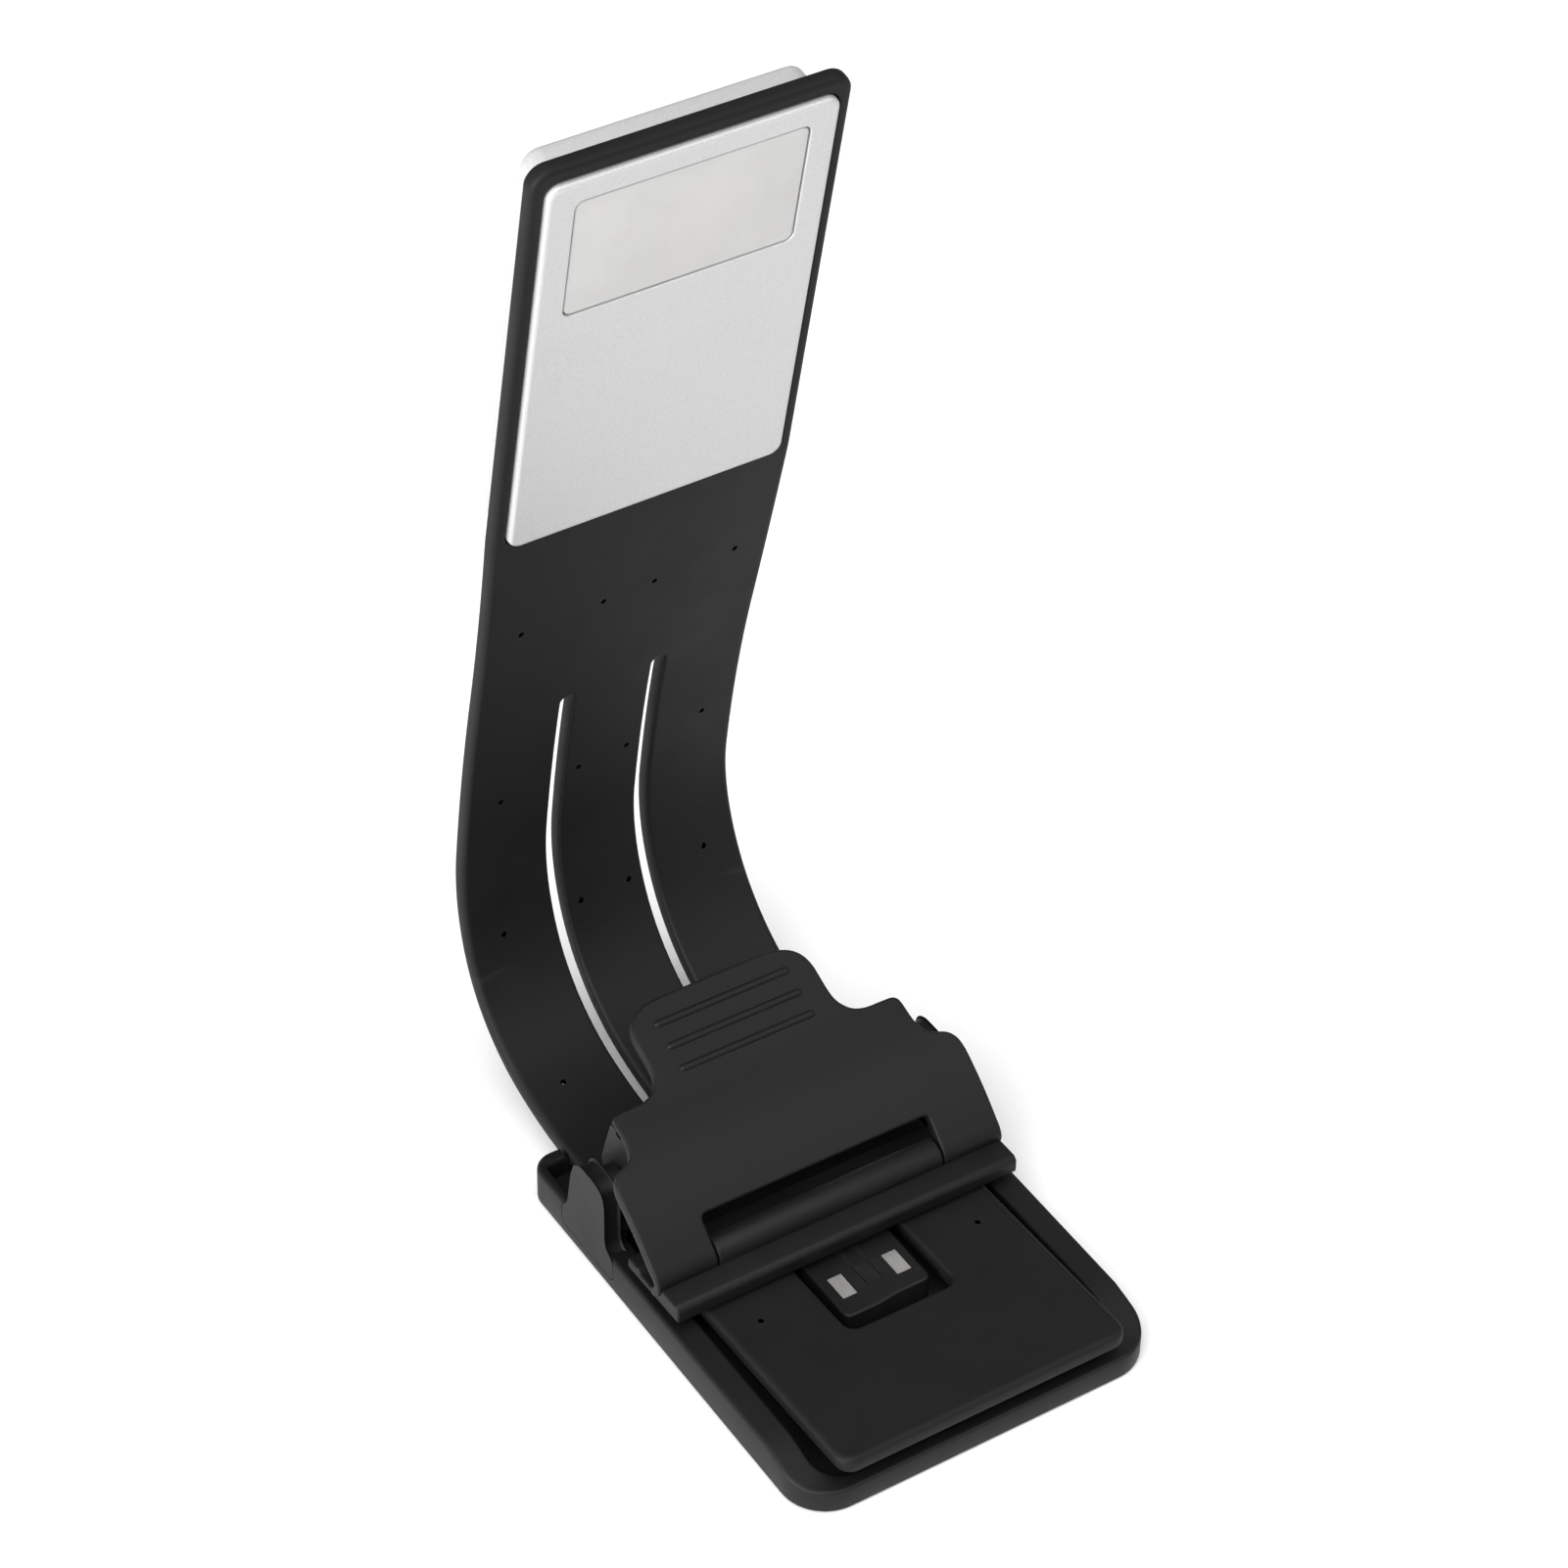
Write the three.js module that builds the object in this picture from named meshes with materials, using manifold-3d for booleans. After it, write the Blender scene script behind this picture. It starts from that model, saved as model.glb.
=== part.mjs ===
// Clip-on reading lamp: a flat bendable strip carries a thin LED head at one end, passes through the base
// of a spring clip and ends in a flat tail pad that lies in the clip's tray.
// Millimetres, +Z up, +Y from the front of the tray to the back, X across the lamp.
import * as THREE from 'three';
import { mergeVertices } from 'three/addons/utils/BufferGeometryUtils.js';
import Module from 'manifold-3d';

const wasm = await Module();
wasm.setup();

// ---- driving dimensions ------------------------------------------------------------------------------------------
const CENTRE_Y = 48.55;         // distance from the tray's front edge to the middle of the lamp

const TRAY_W = 52.3;
const TRAY_L = 67.2;
const TRAY_H = 5.4;
const TRAY_FRONT_R = 6.2;
const TRAY_BACK_R = 3;
const FLOOR_Z = 2.4;            // floor of the tray's recess
const RECESS_X = 22.3;          // half width of the recess
const LIP_Z = 3.5;              // low front lip of the tray
const EAR_T = 2.4;              // thickness of the two hinge ears

const BOSS_X = 6.55;            // half width of the docking boss
const BOSS_Y = [21.7, 36.2];
const BOSS_Z = 5.85;
const BAR = { x: 4.07, w: 2.05, y0: 24.9, y1: 28.7, z0: 4.0, z1: 5.92 };

const PIVOT = { y: 52.3, z: 11.8 };      // lever hinge axis
const PIN_R = 1.0;
const RUNNING_GAP = 0.12;

const HINGE = { y: 37.4, z: 9.5 };       // jaw foot hinge axis
const FOOT_PIN_R = 0.8;
const KNUCKLE_R = 2.2;
const KNUCKLE_GAP = 0.25;
const WINDOW_X = 17.1;                   // half width of the lever's front notch
const WINDOW_BACK_Y = 39.5;
const LEVER_T = 1.6;
const LEVER_FRONT_X = 25.8;
const LEVER_REAR_X = 21.6;
const TAB_X = 13.5;
const FOOT_X = 25.55;

const STRIP_W = 42.3;
const STRIP_T = 2.4;
const STRIP_START = { y: 0.15, z: 8.05, heading: -2.85 };
// Runs of the strip's front face from the tail pad to the head: length in mm, turn in degrees.
const STRIP_RUNS = [
  [30, 0], [34.02, 2.38], [13.19, 18.53], [18.1, 46.53], [16.91, 33.06], [29.13, 6.41], [29.65, -2.7]];
const SLOT_X = 7;
const SLOT_W = 2.2;
const SLOT_S = [62, 136.9];
const JOINT_S = [70, 117];               // where the strip bends
const HEAD_S = 171;                      // bottom edge of the head
const HEAD_LEN = 60.6;                   // strip beyond that edge
const HEAD_SINK = 1.0;                   // how deep the head's shells sit in the strip's front face
const LEAN = 1.6;                        // how far the bent arm's right edge stands behind its middle
const CUTOUT = { x: 8.05, s0: 18.8, s1: 38.5 };
const CORE_T = 0.5;
const TAIL_CORE_T = 0.8;

const SHELL_W = 38.6;
const SHELL_H = 58.4;
const SHELL_R = 2.4;
const SHELL_PROUD = 1.7;
const REAR_W = 37.4;
const REAR_V = [-1.2, 58.0];
const REAR_PROUD = 3.8;
const LIGHT = { x: 15.6, v0: 37.4, v1: 55.4 };

const HALF = STRIP_W / 2;
const PRONG_X = [[-HALF, -SLOT_X - SLOT_W / 2], [-SLOT_X + SLOT_W / 2, SLOT_X - SLOT_W / 2], [SLOT_X + SLOT_W / 2, HALF]];
const CORE_X = [[-18.6, -10.6], [-4, 4], [10.6, 18.6]];
const SIDES = ['left', 'centre', 'right'];

// ---- solids --------------------------------------------------------------------------------------------------
function solid(geometry) {
  const bare = new THREE.BufferGeometry();
  bare.setAttribute('position', geometry.attributes.position.clone());
  if (geometry.index) bare.setIndex(geometry.index.clone());
  const merged = mergeVertices(bare, 1e-5);
  return new wasm.Manifold(new wasm.Mesh({
    numProp: 3,
    vertProperties: new Float32Array(merged.attributes.position.array),
    triVerts: new Uint32Array(merged.index.array),
  }));
}

function geometryOf(manifold) {
  const mesh = manifold.getMesh();
  const geometry = new THREE.BufferGeometry();
  geometry.setAttribute('position', new THREE.BufferAttribute(new Float32Array(mesh.vertProperties), 3));
  geometry.setIndex(new THREE.BufferAttribute(new Uint32Array(mesh.triVerts), 1));
  return geometry;
}

const union = (first, ...rest) => rest.reduce((whole, part) => whole.add(part), first);
const cut = (first, ...rest) => rest.reduce((whole, part) => whole.subtract(part), first);

function polygon(points) {
  return new THREE.Shape(points.map(([a, b]) => new THREE.Vector2(a, b)));
}

function roundedRect(x0, x1, y0, y1, low, high = low) {
  const shape = new THREE.Shape();
  shape.moveTo(x0 + low, y0);
  shape.lineTo(x1 - low, y0);
  shape.absarc(x1 - low, y0 + low, low, -Math.PI / 2, 0);
  shape.lineTo(x1, y1 - high);
  shape.absarc(x1 - high, y1 - high, high, 0, Math.PI / 2);
  shape.lineTo(x0 + high, y1);
  shape.absarc(x0 + high, y1 - high, high, Math.PI / 2, Math.PI);
  shape.lineTo(x0, y0 + low);
  shape.absarc(x0 + low, y0 + low, low, Math.PI, Math.PI * 1.5);
  return shape;
}

function extrude(shape, depth, bevel = 0, curveSegments = 5) {
  const geometry = new THREE.ExtrudeGeometry(shape, {
    depth: depth - 2 * bevel,
    bevelEnabled: bevel > 0,
    bevelThickness: bevel,
    bevelSize: bevel,
    bevelOffset: -bevel,
    bevelSegments: 2,
    curveSegments,
  });
  return geometry.translate(0, 0, bevel);
}

// A side profile in (y, z) stretched across x0..x1.
function acrossX(shape, x0, x1, bevel = 0) {
  const turn = new THREE.Matrix4().makeBasis(
    new THREE.Vector3(0, 1, 0), new THREE.Vector3(0, 0, 1), new THREE.Vector3(1, 0, 0));
  return solid(extrude(shape, x1 - x0, bevel).applyMatrix4(turn).translate(x0, 0, 0));
}

// A plan outline in (x, y) raised from z0 to z1.
function upZ(shape, z0, z1, bevel = 0, curveSegments = 5) {
  return solid(extrude(shape, z1 - z0, bevel, curveSegments).translate(0, 0, z0));
}

function block(x0, x1, y0, y1, z0, z1) {
  const geometry = new THREE.BoxGeometry(x1 - x0, y1 - y0, z1 - z0);
  return solid(geometry.translate((x0 + x1) / 2, (y0 + y1) / 2, (z0 + z1) / 2));
}

function rodX(r, y, z, x0, x1, segments = 20) {
  const geometry = new THREE.CylinderGeometry(r, r, x1 - x0, segments);
  return solid(geometry.rotateZ(-Math.PI / 2).translate((x0 + x1) / 2, y, z));
}

// ---- the strip's path ----------------------------------------------------------------------------------------------
function pathAt(s) {
  let { y, z } = STRIP_START;
  let heading = THREE.MathUtils.degToRad(STRIP_START.heading);
  let left = s;
  for (const [length, turn] of [...STRIP_RUNS, [1000, 0]]) {
    const run = Math.min(left, length);
    const bend = THREE.MathUtils.degToRad(turn) * run / length;
    if (Math.abs(bend) < 1e-9) {
      y += run * Math.cos(heading);
      z += run * Math.sin(heading);
    } else {
      const r = run / bend;
      y += r * (Math.sin(heading + bend) - Math.sin(heading));
      z += r * (Math.cos(heading) - Math.cos(heading + bend));
    }
    heading += bend;
    left -= run;
    if (left <= 0) break;
  }
  return { y, z, heading };
}

function leanAt(s) {
  const rise = THREE.MathUtils.smoothstep(s, 80, 112);
  const t = THREE.MathUtils.clamp((s - 112) / (HEAD_S - 112), 0, 1);
  return LEAN * rise * (1 - t * t);
}

// Point of the strip: x across, s along, w below the front face.
function stripPoint(x, s, w) {
  const { y, z, heading } = pathAt(s);
  return new THREE.Vector3(x, y + w * Math.sin(heading) + leanAt(s) * x / HALF, z - w * Math.cos(heading));
}

// Every length of strip is divided at the same stations, so pieces inside it follow its facets.
const GRID = [];
for (let s = 0; s < HEAD_S + HEAD_LEN;) {
  GRID.push(s);
  s += s < 60 ? 12 : s < 130 ? 2.3 : s < HEAD_S - 3 ? 5 : 30;
}

function stationsBetween(s0, s1, cornerAtStart, cornerAtEnd) {
  const arc = [0, 0.06, 0.22, 0.5, 1];
  const list = [s0, ...GRID.filter((s) => s > s0 + cornerAtStart + 0.2 && s < s1 - cornerAtEnd - 0.2), s1];
  if (cornerAtStart) list.push(...arc.slice(1).map((part) => s0 + cornerAtStart * part));
  if (cornerAtEnd) list.push(...arc.slice(1).map((part) => s1 - cornerAtEnd * part));
  return list.sort((a, b) => a - b);
}

// A length of the strip, or of something that lies in it. Corner radii round its outline at either end.
function ribbon(x0, x1, s0, s1, w0, w1, cornerAtStart = 0, cornerAtEnd = 0) {
  const stations = stationsBetween(s0, s1, cornerAtStart, cornerAtEnd);
  const rows = stations.length - 1;
  const geometry = new THREE.BoxGeometry(1, 1, 1, 1, rows, 1);
  const position = geometry.attributes.position;
  const narrowing = (s) => {
    const a = cornerAtStart - (s - s0);
    const b = cornerAtEnd - (s1 - s);
    const inset = (r, d) => (d > 0 ? r - Math.sqrt(Math.max(r * r - d * d, 0)) : 0);
    return inset(cornerAtStart, a) + inset(cornerAtEnd, b);
  };
  for (let i = 0; i < position.count; i += 1) {
    const s = stations[Math.round((position.getY(i) + 0.5) * rows)];
    const edge = narrowing(s);
    const x = position.getX(i) < 0 ? x0 + edge : x1 - edge;
    const w = position.getZ(i) > 0 ? w0 : w1;
    const point = stripPoint(x, s, w);
    position.setXYZ(i, point.x, point.y, point.z);
  }
  return solid(geometry);
}

// The rounded end of a length of strip, about the axis it bends on.
function bendEnd(x0, x1, s) {
  const geometry = new THREE.CylinderGeometry(STRIP_T / 2 - 0.01, STRIP_T / 2 - 0.01, x1 - x0, 14);
  geometry.rotateZ(-Math.PI / 2).translate((x0 + x1) / 2, 0, 0);
  const position = geometry.attributes.position;
  const axis = stripPoint(0, s, STRIP_T / 2);
  for (let i = 0; i < position.count; i += 1) {
    const x = position.getX(i);
    position.setXYZ(i, x, position.getY(i) + axis.y + leanAt(s) * x / HALF, position.getZ(i) + axis.z);
  }
  return solid(geometry);
}

// ---- the head's frame: x across, v up the head, n out of its front ---------------------------------------------------
const headStart = stripPoint(0, HEAD_S, HEAD_SINK);
const headHeading = pathAt(HEAD_S).heading;
const HEAD_MATRIX = new THREE.Matrix4().makeBasis(
  new THREE.Vector3(1, 0, 0),
  new THREE.Vector3(0, Math.cos(headHeading), Math.sin(headHeading)),
  new THREE.Vector3(0, -Math.sin(headHeading), Math.cos(headHeading)),
).setPosition(headStart);

function headPlate(shape, n0, n1, bevel = 0, curveSegments = 4) {
  return solid(extrude(shape, n1 - n0, bevel, curveSegments).translate(0, 0, n0).applyMatrix4(HEAD_MATRIX));
}

function headBlock(x0, x1, v0, v1, n0, n1) {
  const geometry = new THREE.BoxGeometry(x1 - x0, v1 - v0, n1 - n0);
  geometry.translate((x0 + x1) / 2, (v0 + v1) / 2, (n0 + n1) / 2);
  return solid(geometry.applyMatrix4(HEAD_MATRIX));
}

function headDisc(r, x, v, n0, n1, segments = 24) {
  const geometry = new THREE.CylinderGeometry(r, r, n1 - n0, segments);
  return solid(geometry.rotateX(Math.PI / 2).translate(x, v, (n0 + n1) / 2).applyMatrix4(HEAD_MATRIX));
}

// ---- finished nodes ---------------------------------------------------------------------------------------------
const group = new THREE.Group();
group.name = 'clip_on_reading_lamp';

const FINISHES = {
  black_plastic: { color: 0x1d1d1f, roughness: 0.62, metalness: 0 },
  silicone: { color: 0x1a1a1c, roughness: 0.78, metalness: 0 },
  silver_plastic: { color: 0xc9cacc, roughness: 0.4, metalness: 0.35 },
  diffuser: { color: 0xeeece6, roughness: 0.45, metalness: 0 },
  white_plastic: { color: 0xf2f2f0, roughness: 0.5, metalness: 0 },
  nickel: { color: 0xb9b8b5, roughness: 0.3, metalness: 0.9 },
  steel: { color: 0x9a9b9d, roughness: 0.35, metalness: 0.9 },
  aluminium: { color: 0xb4b6b8, roughness: 0.5, metalness: 0.8 },
  circuit_board: { color: 0x1f5a3a, roughness: 0.55, metalness: 0 },
  led: { color: 0xf4e7a8, roughness: 0.35, metalness: 0 },
  battery_foil: { color: 0x8f9499, roughness: 0.4, metalness: 0.5 },
};

function addNode(name, manifold, finish) {
  const geometry = geometryOf(manifold).translate(0, -CENTRE_Y, 0);
  geometry.computeVertexNormals();
  const mesh = new THREE.Mesh(geometry, new THREE.MeshStandardMaterial(FINISHES[finish]));
  mesh.name = name;
  group.add(mesh);
}

// ---- tray of the clip, with its hinge ears, the bridge over the strip and the docking boss ----------------------------
const trayBody = upZ(
  roundedRect(-TRAY_W / 2, TRAY_W / 2, 0, TRAY_L, TRAY_FRONT_R, TRAY_BACK_R), 0, TRAY_H, 0.4, 7);
const recess = upZ(roundedRect(-RECESS_X, RECESS_X, 2.2, TRAY_L + 4, 4, 1), FLOOR_Z, TRAY_H + 2);
const rearPockets = block(-24.7, 24.7, 58.2, 65.0, FLOOR_Z, TRAY_H + 2);
const frontRamp = acrossX(
  polygon([[-2, LIP_Z], [2.6, LIP_Z], [9.5, TRAY_H], [9.5, TRAY_H + 4], [-2, TRAY_H + 4]]), -30, 30);
const EAR_PROFILE = [
  [46.9, 4.4], [46.9, 5.4], [47.9, 5.8], [48.3, 7.0], [48.3, 13.3], [48.9, 14.6], [50.3, 15.3],
  [53.9, 15.3], [55.1, 14.5], [55.9, 12.2], [56.9, 6.4], [57.6, 5.4], [57.6, 4.4]];
const earIn = TRAY_W / 2 - EAR_T;
const ears = [-TRAY_W / 2, earIn].map((x) => acrossX(polygon(EAR_PROFILE), x, x + EAR_T));
const bridge = block(-earIn - 0.3, earIn + 0.3, 48.4, 57.4, 6.35, 7.8);
const bridgeFeet = [-1, 1].map((side) => {
  const near = side * (RECESS_X + 0.2);
  const far = side * (earIn + 0.3);
  return block(Math.min(near, far), Math.max(near, far), 48.4, 57.4, 4.6, 7.0);
});
const boss = upZ(roundedRect(-BOSS_X, BOSS_X, BOSS_Y[0], BOSS_Y[1], 1.6), FLOOR_Z - 0.4, BOSS_Z);
const barPockets = [-BAR.x, BAR.x].map((x) =>
  block(x - BAR.w / 2 - 0.1, x + BAR.w / 2 + 0.1, BAR.y0 - 0.1, BAR.y1 + 0.1, BAR.z0 - 0.1, BOSS_Z + 1));
const pinHole = rodX(PIN_R + RUNNING_GAP, PIVOT.y, PIVOT.z, -25.05, 25.05);
addNode(
  'base_tray',
  cut(union(cut(trayBody, recess, rearPockets, frontRamp), ...ears, bridge, ...bridgeFeet, boss), ...barPockets, pinHole),
  'black_plastic');
[-BAR.x, BAR.x].forEach((x, i) => {
  const bar = block(x - BAR.w / 2, x + BAR.w / 2, BAR.y0, BAR.y1, BAR.z0, BAR.z1);
  addNode(`dock_bar_${['left', 'right'][i]}`, bar, 'nickel');
});
addNode('lever_pin', rodX(PIN_R, PIVOT.y, PIVOT.z, -24.95, 24.95), 'steel');

// ---- torsion spring on the lever pin --------------------------------------------------------------------------------
const SPRING = { r: 1.75, wire: 0.4, turns: 5, pitch: 1.05 };
function springPath() {
  const points = [];
  const span = SPRING.turns * SPRING.pitch;
  const lowAngle = THREE.MathUtils.degToRad(-97);
  const highAngle = THREE.MathUtils.degToRad(140) - Math.PI * 2 * SPRING.turns;
  const on = (angle, x) => new THREE.Vector3(
    x, PIVOT.y + SPRING.r * Math.cos(angle), PIVOT.z + SPRING.r * Math.sin(angle));
  points.push(new THREE.Vector3(-span / 2, PIVOT.y + 4.6, 8.55));
  points.push(new THREE.Vector3(-span / 2, PIVOT.y + 2.4, 9.1));
  const steps = SPRING.turns * 12;
  for (let i = 0; i <= steps; i += 1) {
    const t = i / steps;
    points.push(on(lowAngle + (highAngle - lowAngle) * t, -span / 2 + span * t));
  }
  const end = on(highAngle, span / 2);
  [3, 6, 8.4].forEach((d) => points.push(new THREE.Vector3(span / 2, end.y + d * 0.66, end.z + d * 0.75)));
  return new THREE.CatmullRomCurve3(points);
}
const springGeometry = new THREE.ExtrudeGeometry(
  polygon(Array.from({ length: 8 }, (_, i) => [
    SPRING.wire * Math.cos(i * Math.PI / 4), SPRING.wire * Math.sin(i * Math.PI / 4)])),
  { steps: 96, bevelEnabled: false, extrudePath: springPath() });
addNode('clip_spring', solid(springGeometry), 'steel');

// ---- strip: tail pad with its steel plate ----------------------------------------------------------------------------
function slotCutters(s0, s1) {
  return [-SLOT_X, SLOT_X].map((x) => ribbon(x - SLOT_W / 2, x + SLOT_W / 2, s0, s1, -1, STRIP_T + 1));
}
const MID_W = STRIP_T / 2;
const tailEnd = JOINT_S[0] - STRIP_T / 2 - 0.3;
function tailPlate(clearance) {
  const low = MID_W - TAIL_CORE_T / 2 - clearance;
  const high = MID_W + TAIL_CORE_T / 2 + clearance;
  const end = clearance > 0 ? tailEnd + 2 : tailEnd - 0.8;
  const head = ribbon(-18.6 - clearance, 18.6 + clearance, 3.5 - clearance, 16 + clearance, low, high);
  const legs = [-1, 1].map((side) => {
    const xs = [side * (10.6 - clearance), side * (18.6 + clearance)].sort((a, b) => a - b);
    return ribbon(xs[0], xs[1], 10, end, low, high);
  });
  return union(head, ...legs);
}
addNode(
  'strip_tail',
  cut(
    ribbon(-HALF, HALF, 0, tailEnd, 0, STRIP_T, 2.2),
    ribbon(-CUTOUT.x, CUTOUT.x, CUTOUT.s0, CUTOUT.s1, -1, STRIP_T + 1, 1.8, 1.8),
    ...slotCutters(SLOT_S[0], JOINT_S[0]),
    tailPlate(0.15)),
  'silicone');
addNode('tail_plate', tailPlate(0), 'steel');

// ---- strip: three bendable prongs with their metal cores ---------------------------------------------------------------
const coreLow = MID_W - CORE_T / 2;
const coreHigh = MID_W + CORE_T / 2;
const prongEnd = JOINT_S[1] - STRIP_T / 2 - 0.3;
PRONG_X.forEach(([x0, x1], i) => {
  const [c0, c1] = CORE_X[i];
  const body = union(ribbon(x0, x1, JOINT_S[0], prongEnd, 0, STRIP_T), bendEnd(x0, x1, JOINT_S[0]));
  const pocket = ribbon(c0 - 0.15, c1 + 0.15, 73, prongEnd + 2, coreLow - 0.15, coreHigh + 0.15);
  addNode(`arm_prong_${SIDES[i]}`, cut(body, pocket), 'silicone');
  addNode(`arm_core_${SIDES[i]}`, ribbon(c0, c1, 73.3, prongEnd - 0.4, coreLow, coreHigh), 'aluminium');
});

// ---- strip: upper length with the frame that holds the head ------------------------------------------------------------
const FRAME_OPENING = { x: 17.8, v0: 1.7, v1: 56.7 };
const upperStart = JOINT_S[1];
const upper = cut(
  ribbon(-HALF, HALF, upperStart, HEAD_S + HEAD_LEN, 0, STRIP_T, 0, 3.4),
  ...slotCutters(upperStart - 2, SLOT_S[1]));
const upperEnds = PRONG_X.map(([x0, x1]) => bendEnd(x0, x1, upperStart));
const corePockets = CORE_X.map(([c0, c1]) =>
  ribbon(c0 - 0.15, c1 + 0.15, upperStart + 3, HEAD_S + 0.8, coreLow - 0.15, coreHigh + 0.15));
const frameOpening = headPlate(
  roundedRect(-FRAME_OPENING.x, FRAME_OPENING.x, FRAME_OPENING.v0, FRAME_OPENING.v1, 1.5), -STRIP_T - 1, 2);
const shellSeat = headPlate(roundedRect(-SHELL_W / 2 - 0.25, SHELL_W / 2 + 0.25, -0.25, SHELL_H + 0.25, 2.6), -0.1, 3);
addNode('strip_upper', cut(union(upper, ...upperEnds), ...corePockets, frameOpening, shellSeat), 'silicone');
CORE_X.forEach(([c0, c1], i) => {
  const core = ribbon(c0, c1, upperStart + 3.3, HEAD_S - 0.6, coreLow, coreHigh);
  addNode(`head_core_${SIDES[i]}`, core, 'aluminium');
});

// ---- clip lever with its ribbed thumb tab -----------------------------------------------------------------------------
const LEVER_TOP = [
  [35.8, 11.15], [39.5, 14.7], [43.2, 17.5], [46.4, 19.35], [50.2, 20.75], [53.6, 21.85], [56.2, 22.95],
  [59.1, 24.15], [62.1, 25.45], [65.25, 26.8]];
const underside = LEVER_TOP.map(([y, z], i) => {
  const a = LEVER_TOP[Math.max(i - 1, 0)];
  const b = LEVER_TOP[Math.min(i + 1, LEVER_TOP.length - 1)];
  const length = Math.hypot(b[0] - a[0], b[1] - a[1]);
  return [y + LEVER_T * (b[1] - a[1]) / length, z - LEVER_T * (b[0] - a[0]) / length];
});
const plate = acrossX(polygon([...LEVER_TOP, ...underside.reverse()]), -LEVER_FRONT_X, LEVER_FRONT_X);
const HALF_PLAN = [
  [25.8, 30], [25.8, 44.6], [25.45, 46.0], [24.6, 47.0], [23.4, 47.5], [22.4, 47.9], [21.9, 48.8],
  [LEVER_REAR_X, 50.2], [LEVER_REAR_X, 53.1], [21.2, 53.7], [20.6, 53.95], [16.6, 54.0], [14.9, 54.6],
  [13.8, 56.0], [TAB_X, 57.4], [TAB_X, 61.6], [13.0, 63.2], [11.8, 64.4], [9.8, 65.1], [7.5, 65.3]];
const plan = upZ(polygon([...HALF_PLAN, ...HALF_PLAN.map(([x, y]) => [-x, y]).reverse()]), 0, 40);
const knuckles = [-1, 1].map((side) => {
  const xs = [side * WINDOW_X, side * LEVER_FRONT_X].sort((a, b) => a - b);
  return rodX(KNUCKLE_R, HINGE.y, HINGE.z, xs[0], xs[1], 22);
});
const leverWindow = upZ(roundedRect(-WINDOW_X, WINDOW_X, 25, WINDOW_BACK_Y, 0.5, 0.6), 0, 40);
const WALL_PROFILE = [
  [46.6, 18.4], [53.9, 21.0], [56.0, 13.0], [54.6, 10.4], [52.3, 9.1], [50.2, 9.9], [49.2, 11.8], [48.4, 15.0]];
const walls = [-LEVER_REAR_X, LEVER_REAR_X - 1.6].map((x) => acrossX(polygon(WALL_PROFILE), x, x + 1.6));
const bosses = [-1, 1].map((side) => {
  const xs = [side * 19.6, side * 23.2].sort((a, b) => a - b);
  return rodX(2.7, PIVOT.y, PIVOT.z, xs[0], xs[1], 22);
});
const RIB_ROWS = [55.9, 59.0, 62.1];
const ribs = RIB_ROWS.map((y) => {
  const rib = new THREE.CapsuleGeometry(0.5, 19.2, 3, 8);
  return solid(rib.rotateZ(Math.PI / 2).scale(1, 1, 0.7).translate(0, y, 22.82 + (y - 55.9) * 0.42));
});
addNode(
  'clip_lever',
  cut(
    union(cut(union(plate.intersect(plan), ...knuckles), leverWindow), ...walls, ...bosses, ...ribs),
    rodX(PIN_R + RUNNING_GAP, PIVOT.y, PIVOT.z, -30, 30),
    rodX(FOOT_PIN_R + RUNNING_GAP, HINGE.y, HINGE.z, -25.15, 25.15, 16)),
  'black_plastic');
addNode('foot_pin', rodX(FOOT_PIN_R, HINGE.y, HINGE.z, -25.05, 25.05, 16), 'steel');

// ---- self-aligning jaw foot -------------------------------------------------------------------------------------------
const footPlate = acrossX(
  polygon([[31.2, 7.0], [43.3, 6.55], [43.3, 8.3], [41.0, 8.3], [40.4, 7.6], [36, 7.6], [35.0, 9.5], [31.8, 9.5], [31.2, 8.9]]),
  -FOOT_X, FOOT_X);
const footEnds = [-FOOT_X, FOOT_X - 2.6].map((x) =>
  acrossX(polygon([[31.2, 7.0], [43.3, 6.55], [43.3, 7.4], [31.2, 7.6]]), x, x + 2.6));
const sockets = [[-FOOT_X - 1, -WINDOW_X + 0.25], [WINDOW_X - 0.25, FOOT_X + 1]].map(([x0, x1]) =>
  rodX(KNUCKLE_R + KNUCKLE_GAP, HINGE.y, HINGE.z, x0, x1, 26));
const barrel = rodX(KNUCKLE_R, HINGE.y, HINGE.z, -WINDOW_X + 0.25, WINDOW_X - 0.25, 26);
addNode(
  'jaw_foot',
  cut(
    union(cut(union(footPlate, ...footEnds), ...sockets), barrel),
    rodX(FOOT_PIN_R + RUNNING_GAP, HINGE.y, HINGE.z, -30, 30, 16)),
  'black_plastic');

// ---- head shells -------------------------------------------------------------------------------------------------
const skirt = cut(
  headPlate(roundedRect(-17.5, 17.5, 2.0, 56.4, 1.4), -1.6, 1.2),
  headPlate(roundedRect(-16.7, 16.7, 2.8, 55.6, 0.8), -2, 0.8));
addNode(
  'head_front_shell',
  cut(
    union(headPlate(roundedRect(-SHELL_W / 2, SHELL_W / 2, 0, SHELL_H, SHELL_R), 0.15, SHELL_PROUD, 0.5, 6), skirt),
    headPlate(roundedRect(-16.7, 16.7, 2.8, 55.6, 0.8), -0.5, 0.8),
    headPlate(roundedRect(-LIGHT.x, LIGHT.x, LIGHT.v0, LIGHT.v1, 1.2), -1, 3)),
  'silver_plastic');
const rearN = [-STRIP_T - REAR_PROUD, -STRIP_T + HEAD_SINK - 0.15];
const USB = { x0: 12.8, x1: 18.4, v0: 29.3, v1: 36.3, n0: -5.0, n1: -2.75 };
const BUTTON = { x: -8, v: 32.7, r: 2.9 };
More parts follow.
